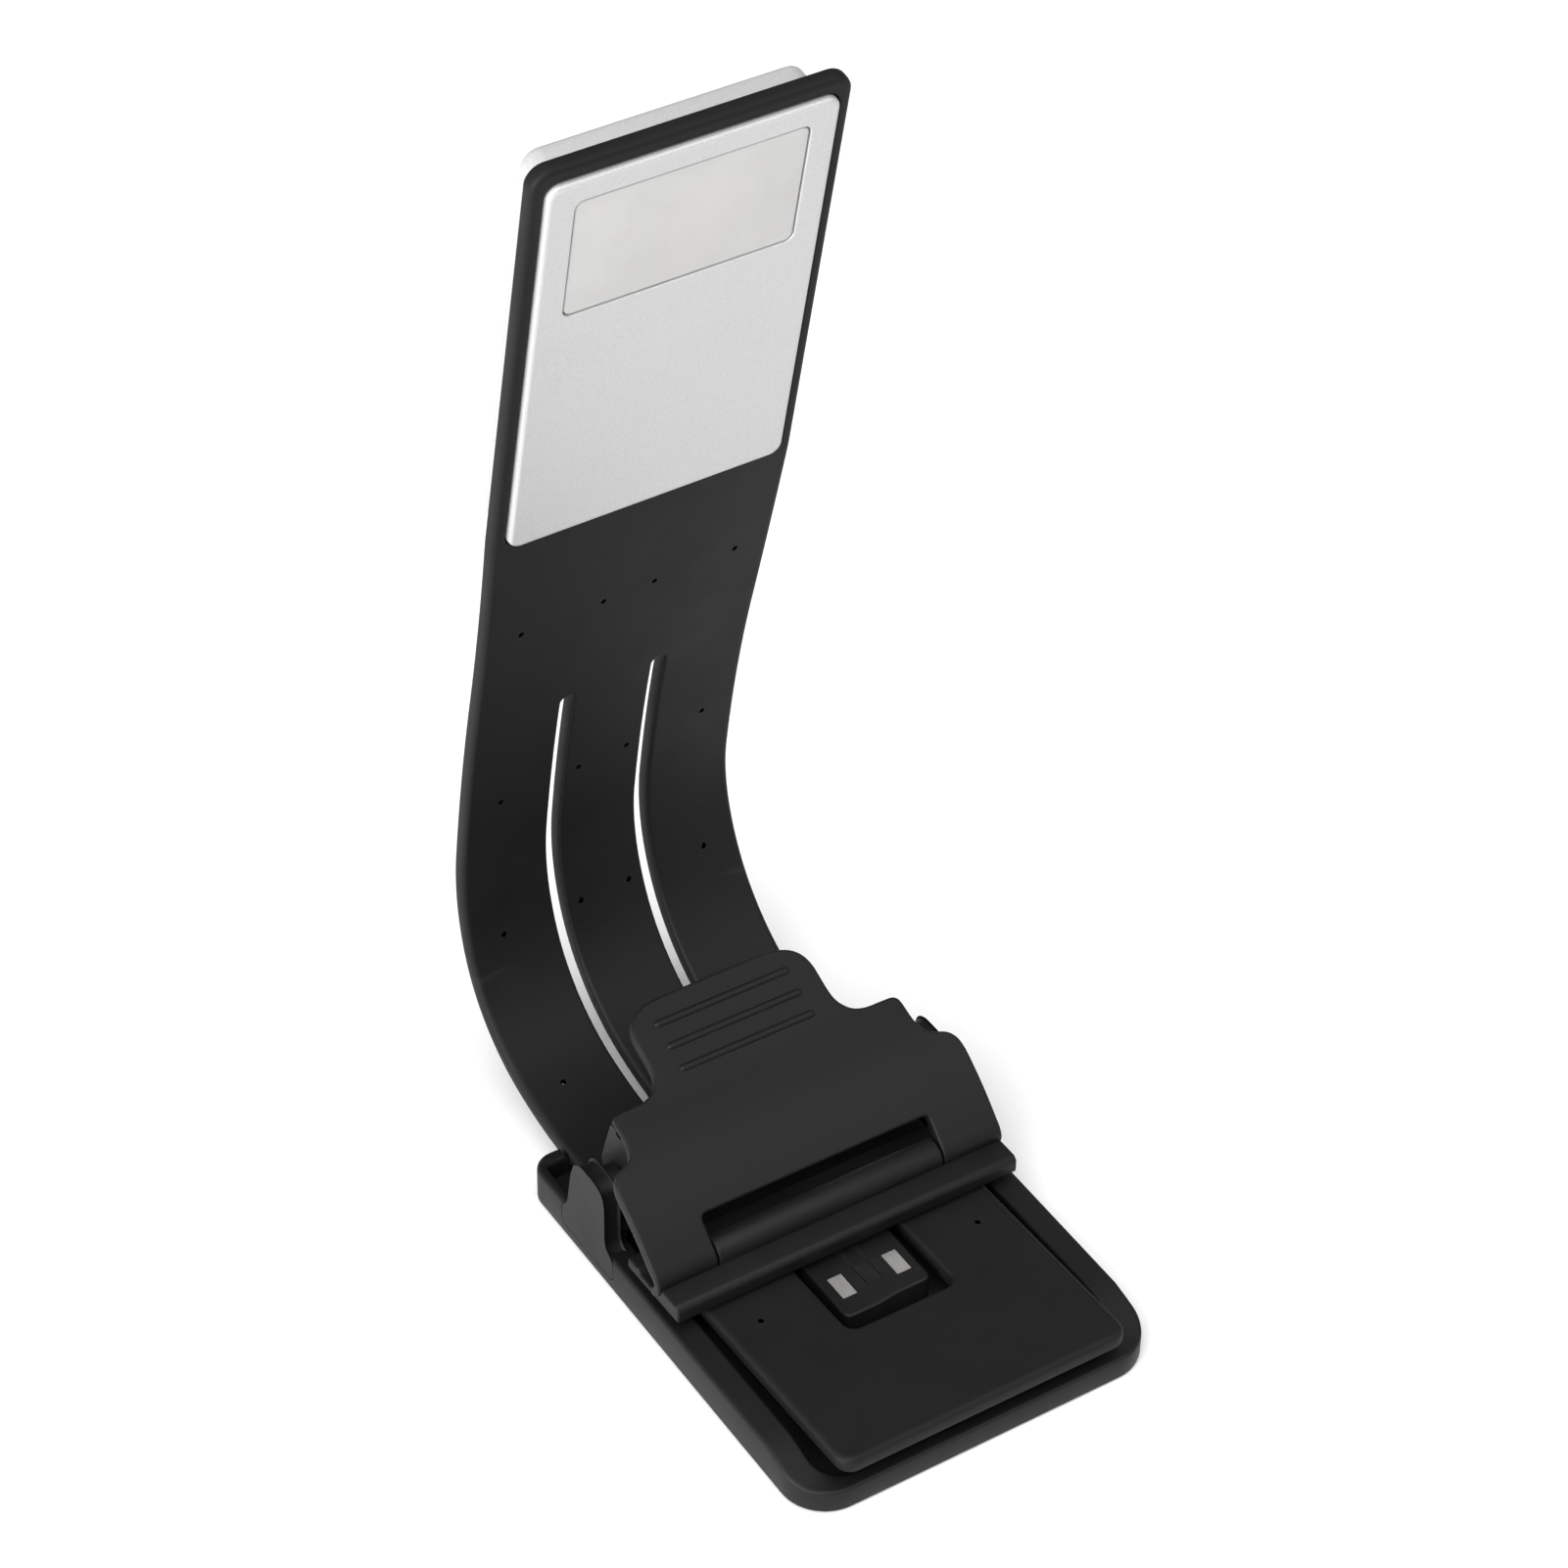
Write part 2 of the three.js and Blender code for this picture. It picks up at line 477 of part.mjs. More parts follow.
addNode(
  'head_rear_shell',
  cut(
    headPlate(roundedRect(-REAR_W / 2, REAR_W / 2, REAR_V[0], REAR_V[1], SHELL_R), rearN[0], rearN[1], 0.5, 6),
    headPlate(roundedRect(-REAR_W / 2 + 1, REAR_W / 2 - 1, REAR_V[0] + 1, REAR_V[1] - 1, 1.6), rearN[0] + 1, rearN[1] + 1),
    headBlock(17, 20, USB.v0 - 0.2, USB.v1 + 0.2, USB.n0 - 0.15, USB.n1 + 0.12),
    headDisc(BUTTON.r + 0.25, BUTTON.x, BUTTON.v, rearN[0] - 1, rearN[0] + 2)),
  'silver_plastic');

// ---- light window, reflector and LEDs ---------------------------------------------------------------------------------
addNode(
  'light_window',
  union(
    headPlate(roundedRect(-LIGHT.x + 0.2, LIGHT.x - 0.2, LIGHT.v0 + 0.2, LIGHT.v1 - 0.2, 1.0), -0.4, SHELL_PROUD - 0.1),
    headPlate(roundedRect(-16.4, 16.4, 36.6, LIGHT.v1 - 0.2, 1.0), -0.4, 0.6)),
  'diffuser');
addNode(
  'reflector',
  cut(
    headPlate(roundedRect(-16.4, 16.4, 36.6, 55.2, 1.0), -1.5, -0.55),
    headPlate(roundedRect(-14.2, 14.2, 39.0, 53.0, 1.0), -3, 1)),
  'white_plastic');
addNode('led_board', headBlock(-16.2, 16.2, 36.8, 55.0, -2.45, -1.65), 'circuit_board');
[-10.2, -3.4, 3.4, 10.2].forEach((x, i) => {
  addNode(`led_${i + 1}`, headBlock(x - 1.4, x + 1.4, 44.25, 47.75, -1.6, -0.9), 'led');
});

// ---- battery, control board, socket, switch and button -----------------------------------------------------------------
addNode('battery_cell', headPlate(roundedRect(-15, 15, 4, 28.5, 1.5), -4.6, -0.2, 0.6, 3), 'battery_foil');
addNode('control_board', headBlock(-16.2, 16.2, 29.2, 36.2, -2.45, -1.65), 'circuit_board');
addNode(
  'usb_socket',
  cut(
    headBlock(USB.x0, USB.x1, USB.v0, USB.v1, USB.n0, USB.n1),
    headBlock(USB.x0 + 1, USB.x1 + 1, USB.v0 + 0.4, USB.v1 - 0.4, USB.n0 + 0.4, USB.n1 - 0.4)),
  'steel');
addNode('tact_switch', headBlock(BUTTON.x - 1.7, BUTTON.x + 1.7, BUTTON.v - 1.7, BUTTON.v + 1.7, -4.4, -2.75), 'black_plastic');
addNode(
  'power_button',
  union(
    headDisc(BUTTON.r, BUTTON.x, BUTTON.v, rearN[0] - 0.4, rearN[0] + 1.35),
    headDisc(BUTTON.r + 0.8, BUTTON.x, BUTTON.v, rearN[0] + 1.15, rearN[0] + 1.45)),
  'black_plastic');

export default group;
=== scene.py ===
"""Clip-on reading lamp: detailed meshes, materials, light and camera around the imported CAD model."""

import math

import bmesh
import bpy
import numpy as np
from mathutils import Matrix, Vector
from mathutils.geometry import delaunay_2d_cdt


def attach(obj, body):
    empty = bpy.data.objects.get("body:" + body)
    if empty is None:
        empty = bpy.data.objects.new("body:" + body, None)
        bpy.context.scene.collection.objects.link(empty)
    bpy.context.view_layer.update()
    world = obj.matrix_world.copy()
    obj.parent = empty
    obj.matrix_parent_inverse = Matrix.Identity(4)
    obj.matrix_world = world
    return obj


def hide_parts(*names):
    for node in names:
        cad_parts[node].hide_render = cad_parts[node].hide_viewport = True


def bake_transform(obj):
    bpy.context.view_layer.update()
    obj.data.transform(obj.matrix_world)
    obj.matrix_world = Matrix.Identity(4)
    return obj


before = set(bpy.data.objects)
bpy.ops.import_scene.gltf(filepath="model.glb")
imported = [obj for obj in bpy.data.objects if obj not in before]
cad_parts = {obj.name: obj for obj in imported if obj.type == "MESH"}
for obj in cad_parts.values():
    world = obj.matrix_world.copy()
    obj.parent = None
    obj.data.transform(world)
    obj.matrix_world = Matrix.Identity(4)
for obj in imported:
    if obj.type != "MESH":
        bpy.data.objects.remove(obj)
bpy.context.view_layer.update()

# ---- dimensions, millimetres, y from the tray's front edge ---------------------------------------
MM = 0.001
CENTRE_Y = 48.55            # tray front edge to the middle of the lamp

TRAY_X = 26.15              # half width of the tray
TRAY_L = 67.2
TRAY_H = 5.4
TRAY_FRONT_R = 6.2
TRAY_BACK_R = 3.0
FLOOR_Z = 2.4
RECESS_X = 22.3
REAR_END_X = 21.4            # where the rim's rear wall stops beside the strip
LIP_Z = 3.5
EAR_T = 2.4
BOSS_X = 6.55               # half width of the docking boss
POCKET_X = 4.07             # middle of each bar's pocket
POCKET_HALF = 1.07
POCKET_Y = (24.85, 28.75)
HAIRLINE_X = 1.15

PIVOT = (52.3, 11.8)        # y, z of the lever's axis
HINGE = (37.4, 9.5)         # y, z of the jaw foot's axis
KNUCKLE_R = 2.2

STRIP_W = 42.3
STRIP_T = 2.4
STRIP_START = (0.15, 8.05, -2.85)
# Length and turn of each run of the strip, in millimetres and degrees.
STRIP_RUNS = (
    (30, 0), (34.02, 2.38), (13.19, 18.53), (18.1, 46.53), (16.91, 33.06), (29.13, 6.41), (29.65, -2.7))
STRIP_LEN = 231.6
HEAD_S = 171.0
HEAD_SINK = 1.0             # how deep the head's shells sit in the strip's front face
LEAN = 1.6
SLOT_X = 7.0
SLOT_W = 1.85
SLOT_S = (62.0, 136.9)
SEAM_S = 93.5               # the strip's two skins meet in the middle of the arm

LEVER_T = 1.6
LEVER_REAR_X = 21.6
WINDOW_X = 17.1
WINDOW_BACK_Y = 39.5
TAB_X = 13.5
FOOT_X = 25.55

SHELL_X = 19.3
SHELL_H = 58.4
REAR_X = 18.7
LIGHT = (15.6, 37.4, 55.4)  # half width, low and high edge of the light window

HALF = STRIP_W / 2


# ---- mesh tools ----------------------------------------------------------------------------------
def to_frame(points):
    """Millimetres in the tray's frame to metres in the CAD frame."""
    out = np.array(points, float).reshape(-1, 3)
    out[:, 1] -= CENTRE_Y
    return out * MM


def arc(cx, cy, r, start, end, steps):
    t = np.radians(np.linspace(start, end, steps + 1))
    return np.column_stack((cx + r * np.cos(t), cy + r * np.sin(t)))


def round_rect(x0, x1, y0, y1, low, high=None, steps=8):
    high = low if high is None else high
    return np.vstack((
        arc(x1 - low, y0 + low, low, -90, 0, steps),
        arc(x1 - high, y1 - high, high, 0, 90, steps),
        arc(x0 + high, y1 - high, high, 90, 180, steps),
        arc(x0 + low, y0 + low, low, 180, 270, steps)))


def soften(points, reach, steps=4):
    """Rounds every corner of a closed outline. reach is how far from the corner the rounding starts."""
    points = np.array(points, float)
    reaches = np.broadcast_to(reach, len(points))
    out = []
    for i, corner in enumerate(points):
        before = points[i - 1] - corner
        after = points[(i + 1) % len(points)] - corner
        a = corner + before * min(reaches[i] / np.linalg.norm(before), 0.48)
        b = corner + after * min(reaches[i] / np.linalg.norm(after), 0.48)
        for t in np.linspace(0, 1, steps + 1):
            out.append(a * (1 - t) ** 2 + corner * 2 * t * (1 - t) + b * t * t)
    return np.array(out)


def divide(loop, step_x, step_y):
    """Adds points to the long straight edges of a closed outline, on shared lines across it."""
    out = []
    for i, a in enumerate(loop):
        b = loop[(i + 1) % len(loop)]
        out.append(a)
        cuts = set()
        for axis, step in ((0, step_x), (1, step_y)):
            span = b[axis] - a[axis]
            if abs(span) < step * 0.6 or abs(span) < np.abs(b - a).max() * 0.5:
                continue
            first = math.ceil(min(a[axis], b[axis]) / step)
            last = math.floor(max(a[axis], b[axis]) / step)
            cuts.update(round((k * step - a[axis]) / span, 6) for k in range(first, last + 1))
        length = np.linalg.norm(b - a)
        last_t = 0.0
        for t in sorted(cuts):
            if (t - last_t) * length > 0.15 and (1 - t) * length > 0.15:
                out.append(a + (b - a) * t)
                last_t = t
    return np.array(out)


def inset(loop, distance):
    """Moves a closed outline to its left by distance, which is into the material."""
    if abs(distance) < 1e-9:
        return loop.copy()
    before = loop - np.roll(loop, 1, 0)
    after = np.roll(loop, -1, 0) - loop
    before /= np.linalg.norm(before, axis=1)[:, None]
    after /= np.linalg.norm(after, axis=1)[:, None]
    n1 = np.column_stack((-before[:, 1], before[:, 0]))
    n2 = np.column_stack((-after[:, 1], after[:, 0]))
    scale = 1 + (n1 * n2).sum(1)
    return loop + distance * (n1 + n2) / np.maximum(scale, 0.5)[:, None]


def inside(points, loops):
    """Even-odd test of points against closed outlines."""
    result = np.zeros(len(points), bool)
    for loop in loops:
        nxt = np.roll(loop, -1, 0)
        for (x0, y0), (x1, y1) in zip(loop, nxt):
            if y0 == y1:
                continue
            crosses = (points[:, 1] > min(y0, y1)) & (points[:, 1] <= max(y0, y1))
            x = x0 + (points[:, 1] - y0) * (x1 - x0) / (y1 - y0)
            result ^= crosses & (points[:, 0] < x)
    return result


class Shape:
    """Vertices and faces gathered in a flat frame (u, v, h) and then placed."""

    def __init__(self):
        self.points = []
        self.faces = []

    def ring(self, loop, height):
        start = len(self.points)
        self.points.extend((x, y, height) for x, y in loop)
        return list(range(start, start + len(loop)))

    def wall(self, low, high):
        for i in range(len(low)):
            k = (i + 1) % len(low)
            self.faces.append((low[i], low[k], high[k], high[i]))

    def fill(self, rings, height, step=None, flip=False):
        """Closes a face bounded by rings, with a lattice of points inside it where step is given."""
        loops = [np.array([self.points[i][:2] for i in ring]) for ring in rings]
        flat = [i for ring in rings for i in ring]
        coords = [Vector(p) for loop in loops for p in loop]
        edges, start = [], 0
        for loop in loops:
            edges += [(start + i, start + (i + 1) % len(loop)) for i in range(len(loop))]
            start += len(loop)
        if step:
            everything = np.vstack(loops)
            low, high = everything.min(0), everything.max(0)
            us = np.arange(math.ceil(low[0] / step[0]), math.floor(high[0] / step[0]) + 1) * step[0]
            vs = np.arange(math.ceil(low[1] / step[1]), math.floor(high[1] / step[1]) + 1) * step[1]
            grid = np.array([(u, v) for v in vs for u in us]).reshape(-1, 2)
            grid = grid[inside(grid, loops)] if len(grid) else grid
            if len(grid):
                gap = min(step) * 0.45
                clear = np.ones(len(grid), bool)
                for p in everything:
                    clear &= np.abs(grid - p).max(1) > gap
                for p in grid[clear]:
                    coords.append(Vector(p))
        made = delaunay_2d_cdt(coords, edges, [], 0, 1e-6)
        verts, tris, origins = made[0], made[2], made[3]
        lookup = []
        for co, origin in zip(verts, origins):
            known = [k for k in origin if k < len(flat)]
            if known:
                lookup.append(flat[known[0]])
            else:
                lookup.append(len(self.points))
                self.points.append((co[0], co[1], height))
        centres = np.array([[sum(verts[i][a] for i in t) / 3 for a in (0, 1)] for t in tris])
        keep = inside(centres, loops)
        for t, good in zip(tris, keep):
            if good:
                face = tuple(lookup[i] for i in t)
                self.faces.append(face[::-1] if flip else face)


def slab(outer, rings, inner=(), step=None):
    """A solid with an outline. rings are (inset, height) from the bottom face to the top face.
    inner holds (clockwise outline, rings from the top down, whether it goes through)."""
    shape = Shape()
    made = [shape.ring(inset(outer, d), h) for d, h in rings]
    for low, high in zip(made, made[1:]):
        shape.wall(low, high)
    tops, bottoms = [made[-1]], [made[0]]
    for loop, inner_rings, through in inner:
        down = [shape.ring(inset(loop, d), h) for d, h in inner_rings]
        for high, low in zip(down, down[1:]):
            shape.wall(low, high)
        tops.append(down[0])
        if through:
            bottoms.append(down[-1])
        else:
            shape.fill([down[-1]], inner_rings[-1][1])
    shape.fill(tops, rings[-1][1], step)
    shape.fill(bottoms, rings[0][1], step, flip=True)
    return np.array(shape.points, float), shape.faces


def edge(radius, height, support=0.15, steps=3, low_radius=None):
    """Rings of a straight wall with rounded rims."""
    low = radius if low_radius is None else low_radius
    t = np.linspace(0, math.pi / 2, steps + 1)
    rings = [(low + support, 0)] if low > 0 else []
    rings += [(low * (1 - math.sin(a)), low * (1 - math.cos(a))) for a in t] if low > 0 else [(0, 0)]
    rings += [(radius * (1 - math.cos(a)), height - radius * (1 - math.sin(a))) for a in t]
    rings += [(radius + support, height)]
    return rings


def rim_down(radius, top, bottom, support=0.1, steps=3, low_radius=0.0):
    """Rings of an inner wall, from a rounded rim at the top face down."""
    t = np.linspace(0, math.pi / 2, steps + 1)
    rings = [(radius + support, top)]
    rings += [(radius * (1 - math.sin(a)), top - radius * (1 - math.cos(a))) for a in t]
    if low_radius > 0:
        rings += [(low_radius * (1 - math.cos(a)), bottom + low_radius * (1 - math.sin(a))) for a in t]
        rings += [(low_radius + support, bottom)]
    else:
        rings += [(0, bottom)]
    return rings


def lathe_x(profile, y, z, segments=40):
    """A turned piece about a line along x. profile is (x, radius) from one end to the other."""
    points, faces = [], []
    for x, r in profile:
        for i in range(segments):
            a = 2 * math.pi * i / segments
            points.append((x, y + r * math.cos(a), z + r * math.sin(a)))
    for k in range(len(profile) - 1):
        for i in range(segments):
            n = (i + 1) % segments
            a, b = k * segments, (k + 1) * segments
            faces.append((a + i, a + n, b + n, b + i))
    faces.append(tuple(range(segments))[::-1])
    last = (len(profile) - 1) * segments
    faces.append(tuple(range(last, last + segments)))
    return np.array(points), faces


def rod_profile(x0, x1, r, round_r=0.3):
    t = np.linspace(0, math.pi / 2, 4)
    left = [(x0 + round_r * (1 - math.sin(a)), r - round_r * (1 - math.cos(a))) for a in t[::-1]]
    right = [(x1 - round_r * (1 - math.sin(a)), r - round_r * (1 - math.cos(a))) for a in t]
    return [(x0, r - round_r - 0.1), *left, *right, (x1, r - round_r - 0.1)]


def build(name, parts, material, place=None, uv=False, sharp=35, quads=True):
    """One object from (points, faces) parts. place turns a part's flat points into tray millimetres."""
    bm = bmesh.new()
    layer = bm.loops.layers.uv.new("Strip") if uv else None
    for part in parts:
        points, faces = part[:2]
        mapping = part[2] if len(part) > 2 else place
        placed = to_frame(mapping(points) if mapping else points)
        verts = [bm.verts.new(p) for p in placed]
        for f in faces:
            if len(set(f)) < 3:
                continue
            try:
                face = bm.faces.new([verts[i] for i in f])
            except ValueError:
                continue
            if layer:
                for loop, i in zip(face.loops, f):
                    loop[layer].uv = (points[i][0] * MM, points[i][1] * MM)
    bmesh.ops.recalc_face_normals(bm, faces=bm.faces)
    if quads:
        bmesh.ops.join_triangles(
            bm, faces=[f for f in bm.faces if len(f.verts) == 3],
            angle_face_threshold=math.radians(8), angle_shape_threshold=math.radians(25), cmp_uvs=False)
    mesh = bpy.data.meshes.new(name)
    bm.to_mesh(mesh)
    bm.free()
    mesh.polygons.foreach_set("use_smooth", [True] * len(mesh.polygons))
    mesh.set_sharp_from_angle(angle=math.radians(sharp))
    mesh.materials.append(material)
    obj = bpy.data.objects.new(name, mesh)
    bpy.context.scene.collection.objects.link(obj)
    return obj


# ---- places --------------------------------------------------------------------------------------
def path_at(s):
    """Point and heading of the strip's front face at the distances s."""
    s = np.asarray(s, float)
    y = np.full(s.shape, STRIP_START[0])
    z = np.full(s.shape, STRIP_START[1])
    heading = np.full(s.shape, math.radians(STRIP_START[2]))
    left = s.copy()
    for length, turn in STRIP_RUNS + ((1000, 0),):
        run = np.clip(left, 0, length)
        bend = math.radians(turn) * run / length
        small = np.abs(bend) < 1e-9
        safe = np.where(small, 1, bend)
        r = run / safe
        y += np.where(small, run * np.cos(heading), r * (np.sin(heading + bend) - np.sin(heading)))
        z += np.where(small, run * np.sin(heading), r * (np.cos(heading) - np.cos(heading + bend)))
        heading = heading + bend
        left = left - run
    return y, z, heading


def lean_at(s):
    t = np.clip((s - 80) / 32, 0, 1)
    rise = t * t * (3 - 2 * t)
    fall = np.clip((s - 112) / (HEAD_S - 112), 0, 1)
    return LEAN * rise * (1 - fall * fall)


def on_strip(points):
    """u across, v along the strip, h out of its front face."""
    u, v, h = points.T
    y, z, heading = path_at(v)
    return np.column_stack((u, y - h * np.sin(heading) + lean_at(v) * u / HALF, z + h * np.cos(heading)))


HEAD_Y, HEAD_Z, HEAD_TILT = (float(a) for a in path_at(np.array(HEAD_S)))
HEAD_Y += HEAD_SINK * math.sin(HEAD_TILT)
HEAD_Z -= HEAD_SINK * math.cos(HEAD_TILT)


def on_head(points):
    """u across, v up the head, h out of its front."""
    u, v, h = points.T
    c, s = math.cos(HEAD_TILT), math.sin(HEAD_TILT)
    return np.column_stack((u, HEAD_Y + v * c - h * s, HEAD_Z + v * s + h * c))


def on_back(points):
    """u across, v up the head, h out of its back."""
    return on_head(points * np.array((-1, 1, -1)))


def side_place(x0):
    """u is y, v is z, h is x from x0."""
    return lambda points: np.column_stack((x0 + points[:, 2], points[:, 0], points[:, 1]))


# The lever's top: round the front knuckle, then along the plate to the end of the tab.
LEVER_TOP = (
    (35.8, 11.15), (39.5, 14.7), (43.2, 17.5), (46.4, 19.35), (50.2, 20.75), (53.6, 21.85), (56.2, 22.95),
             (59.1, 24.15), (62.1, 25.45), (65.25, 26.8))
NOSE = arc(HINGE[0], HINGE[1], KNUCKLE_R + 0.05, 262, 140, 14)


def smooth_line(points, passes=3):
    line = np.array(points, float)
    for _ in range(passes):
        cut = [np.vstack((a * 0.75 + b * 0.25, a * 0.25 + b * 0.75)) for a, b in zip(line, line[1:])]
        line = np.vstack([line[:1], *cut, line[-1:]])
    return line


LEVER_LINE = np.vstack((NOSE, smooth_line(LEVER_TOP, 2)))
LEVER_T_AT = np.concatenate(([0], np.cumsum(np.linalg.norm(np.diff(LEVER_LINE, axis=0), axis=1))))
LEVER_DIR = np.gradient(LEVER_LINE, LEVER_T_AT, axis=0)
PLATE_START = len(NOSE)


def t_at(y):
    """Distance along the lever's top to where the plate reaches y."""
    return float(np.interp(y, LEVER_LINE[PLATE_START:, 0], LEVER_T_AT[PLATE_START:]))


def on_lever(points):
    """u across, v along the lever's top, h above it."""
    u, v, h = points.T
    y = np.interp(v, LEVER_T_AT, LEVER_LINE[:, 0])
    z = np.interp(v, LEVER_T_AT, LEVER_LINE[:, 1])
    dy = np.interp(v, LEVER_T_AT, LEVER_DIR[:, 0])
    dz = np.interp(v, LEVER_T_AT, LEVER_DIR[:, 1])
    length = np.hypot(dy, dz)
    return np.column_stack((u, y - h * dz / length, z + h * dy / length))


# ---- materials -----------------------------------------------------------------------------------
class Nodes:
    """Short names for building a material's nodes."""

    def __init__(self, name, coordinates="Object"):
        self.material = bpy.data.materials.new(name)
        self.material.use_nodes = True
        self.tree = self.material.node_tree
        self.shader = self.tree.nodes["Principled BSDF"]
        if coordinates == "UV":
            source = self.tree.nodes.new("ShaderNodeUVMap")
            source.uv_map = "Strip"
            self.place = source.outputs["UV"]
        else:
            self.place = self.tree.nodes.new("ShaderNodeTexCoord").outputs["Object"]

    def link(self, a, b):
        self.tree.links.new(a, b)

    def noise(self, scale, detail=3.0, roughness=0.5, stretch=None):
        node = self.tree.nodes.new("ShaderNodeTexNoise")
        node.inputs["Scale"].default_value = scale
        node.inputs["Detail"].default_value = detail
        node.inputs["Roughness"].default_value = roughness
        place = self.place
        if stretch:
            mapping = self.tree.nodes.new("ShaderNodeMapping")
            mapping.inputs["Scale"].default_value = stretch
            self.link(self.place, mapping.inputs["Vector"])
            place = mapping.outputs["Vector"]
        self.link(place, node.inputs["Vector"])
        return node.outputs["Fac"]

    def cells(self, scale, randomness=1.0):
        node = self.tree.nodes.new("ShaderNodeTexVoronoi")
        node.inputs["Scale"].default_value = scale
        node.inputs["Randomness"].default_value = randomness
        self.link(self.place, node.inputs["Vector"])
        return node.outputs["Distance"]

    def ramp(self, value, *stops):
        node = self.tree.nodes.new("ShaderNodeValToRGB")
        while len(node.color_ramp.elements) < len(stops):
            node.color_ramp.elements.new(0.5)
        for element, (position, colour) in zip(node.color_ramp.elements, stops):
            element.position = position
            element.color = (*colour, 1) if len(np.shape(colour)) else (colour, colour, colour, 1)
        self.link(value, node.inputs["Fac"])
        return node.outputs["Color"]

    def span(self, value, low, high, to_low, to_high):
        node = self.tree.nodes.new("ShaderNodeMapRange")
        for key, number in (("From Min", low), ("From Max", high), ("To Min", to_low), ("To Max", to_high)):
            node.inputs[key].default_value = number
        self.link(value, node.inputs["Value"])
        return node.outputs["Result"]

    def mix(self, factor, a, b, blend="MIX"):
        node = self.tree.nodes.new("ShaderNodeMix")
        node.data_type = "RGBA"
        node.blend_type = blend
        for socket, value in ((node.inputs[0], factor), (node.inputs[6], a), (node.inputs[7], b)):
            if isinstance(value, bpy.types.NodeSocket):
                self.link(value, socket)
            elif np.shape(value):
                socket.default_value = (*value, 1)
            else:
                socket.default_value = value
        return node.outputs[2]

    def attribute(self, name):
        node = self.tree.nodes.new("ShaderNodeAttribute")
        node.attribute_name = name
        return node.outputs["Fac"]

    def edge_pointiness(self):
        geometry = self.tree.nodes.new("ShaderNodeNewGeometry")
        return geometry.outputs["Pointiness"]

    def bump(self, height, strength, distance, below=None):
        node = self.tree.nodes.new("ShaderNodeBump")
        node.inputs["Strength"].default_value = strength
        node.inputs["Distance"].default_value = distance
        self.link(height, node.inputs["Height"])
        if below is not None:
            self.link(below, node.inputs["Normal"])
        return node.outputs["Normal"]

    def finish(self, colour, roughness, normal=None, **values):
        self.link(colour, self.shader.inputs["Base Color"])
        self.link(roughness, self.shader.inputs["Roughness"])
        if normal is not None:
            self.link(normal, self.shader.inputs["Normal"])
        for key, value in values.items():
            self.shader.inputs[key.replace("_", " ")].default_value = value
        return self.material


def moulded_plastic(
        name, base, rough=0.5, grain=0.22, coordinates="Object", specular=0.5, dust=0.5, paint_pit_shade=False):
    """Matte moulded plastic or silicone: spark-eroded grain, cloudy gloss, dust and lighter edges, with
    painted shade inside the pinholes when asked for.
    """
    n = Nodes(name, coordinates)
    clouds = n.noise(90, 4, 0.6)
    tone = n.ramp(clouds, (0.3, tuple(c * 0.88 for c in base)), (0.7, tuple(c * 1.12 for c in base)))
    specks = n.ramp(n.cells(700), (0.0, 0.11 * dust), (0.055, 0.0))
    patches = n.ramp(n.noise(260, 2), (0.52, 0.0), (0.66, 1.0))
    dusted = n.mix(n.mix(1.0, specks, patches, "MULTIPLY"), tone, (0.32, 0.32, 0.33))
    # Lighter towards sharp convex edges, driven by the mesh's pointiness.
    surface_tone = n.mix(n.span(n.edge_pointiness(), 0.52, 0.62, 0.0, 0.35), dusted, tuple(c * 1.9 + 0.006 for c in base))
    if paint_pit_shade:
        # Painted shade: the pinhole insides are painted near black and lose their specular, standing in for
        # the shade inside the holes.
        pit_shade = n.attribute("painted_pit_shade")
        surface_tone = n.mix(pit_shade, surface_tone, (0.0003, 0.0003, 0.0003))
        n.link(n.span(pit_shade, 0.0, 1.0, specular, 0.0), n.shader.inputs["Specular IOR Level"])
    shine = n.span(clouds, 0.25, 0.75, rough - 0.05, rough + 0.07)
    fine = n.bump(n.noise(5200, 2, 0.6), grain, 0.00006)
    broad = n.bump(n.noise(700, 3, 0.55), 0.1, 0.00008, fine)
    if paint_pit_shade:
        return n.finish(surface_tone, shine, broad)
    return n.finish(surface_tone, shine, broad, Specular_IOR_Level=specular)


def satin_silver(name):
    """Fine metallic paint: tiny flakes, slight clouding, soft orange peel."""
    n = Nodes(name)
    flakes = n.noise(7000, 1, 0.5)
    clouds = n.noise(60, 3, 0.5)
    tone = n.ramp(flakes, (0.3, (0.41, 0.411, 0.413)), (0.7, (0.53, 0.531, 0.533)))
    tinted = n.mix(n.span(clouds, 0.3, 0.7, 0.0, 0.25), tone, (0.52, 0.52, 0.517))
    # Lighter towards sharp convex edges, driven by the mesh's pointiness.
    surface_tone = n.mix(n.span(n.edge_pointiness(), 0.53, 0.63, 0.0, 0.3), tinted, (0.66, 0.66, 0.66))
    shine = n.span(flakes, 0.3, 0.7, 0.36, 0.48)
    fine = n.bump(flakes, 0.1, 0.00003)
    peel = n.bump(n.noise(900, 2, 0.5), 0.06, 0.00006, fine)
    return n.finish(surface_tone, shine, peel, Metallic=0.35)


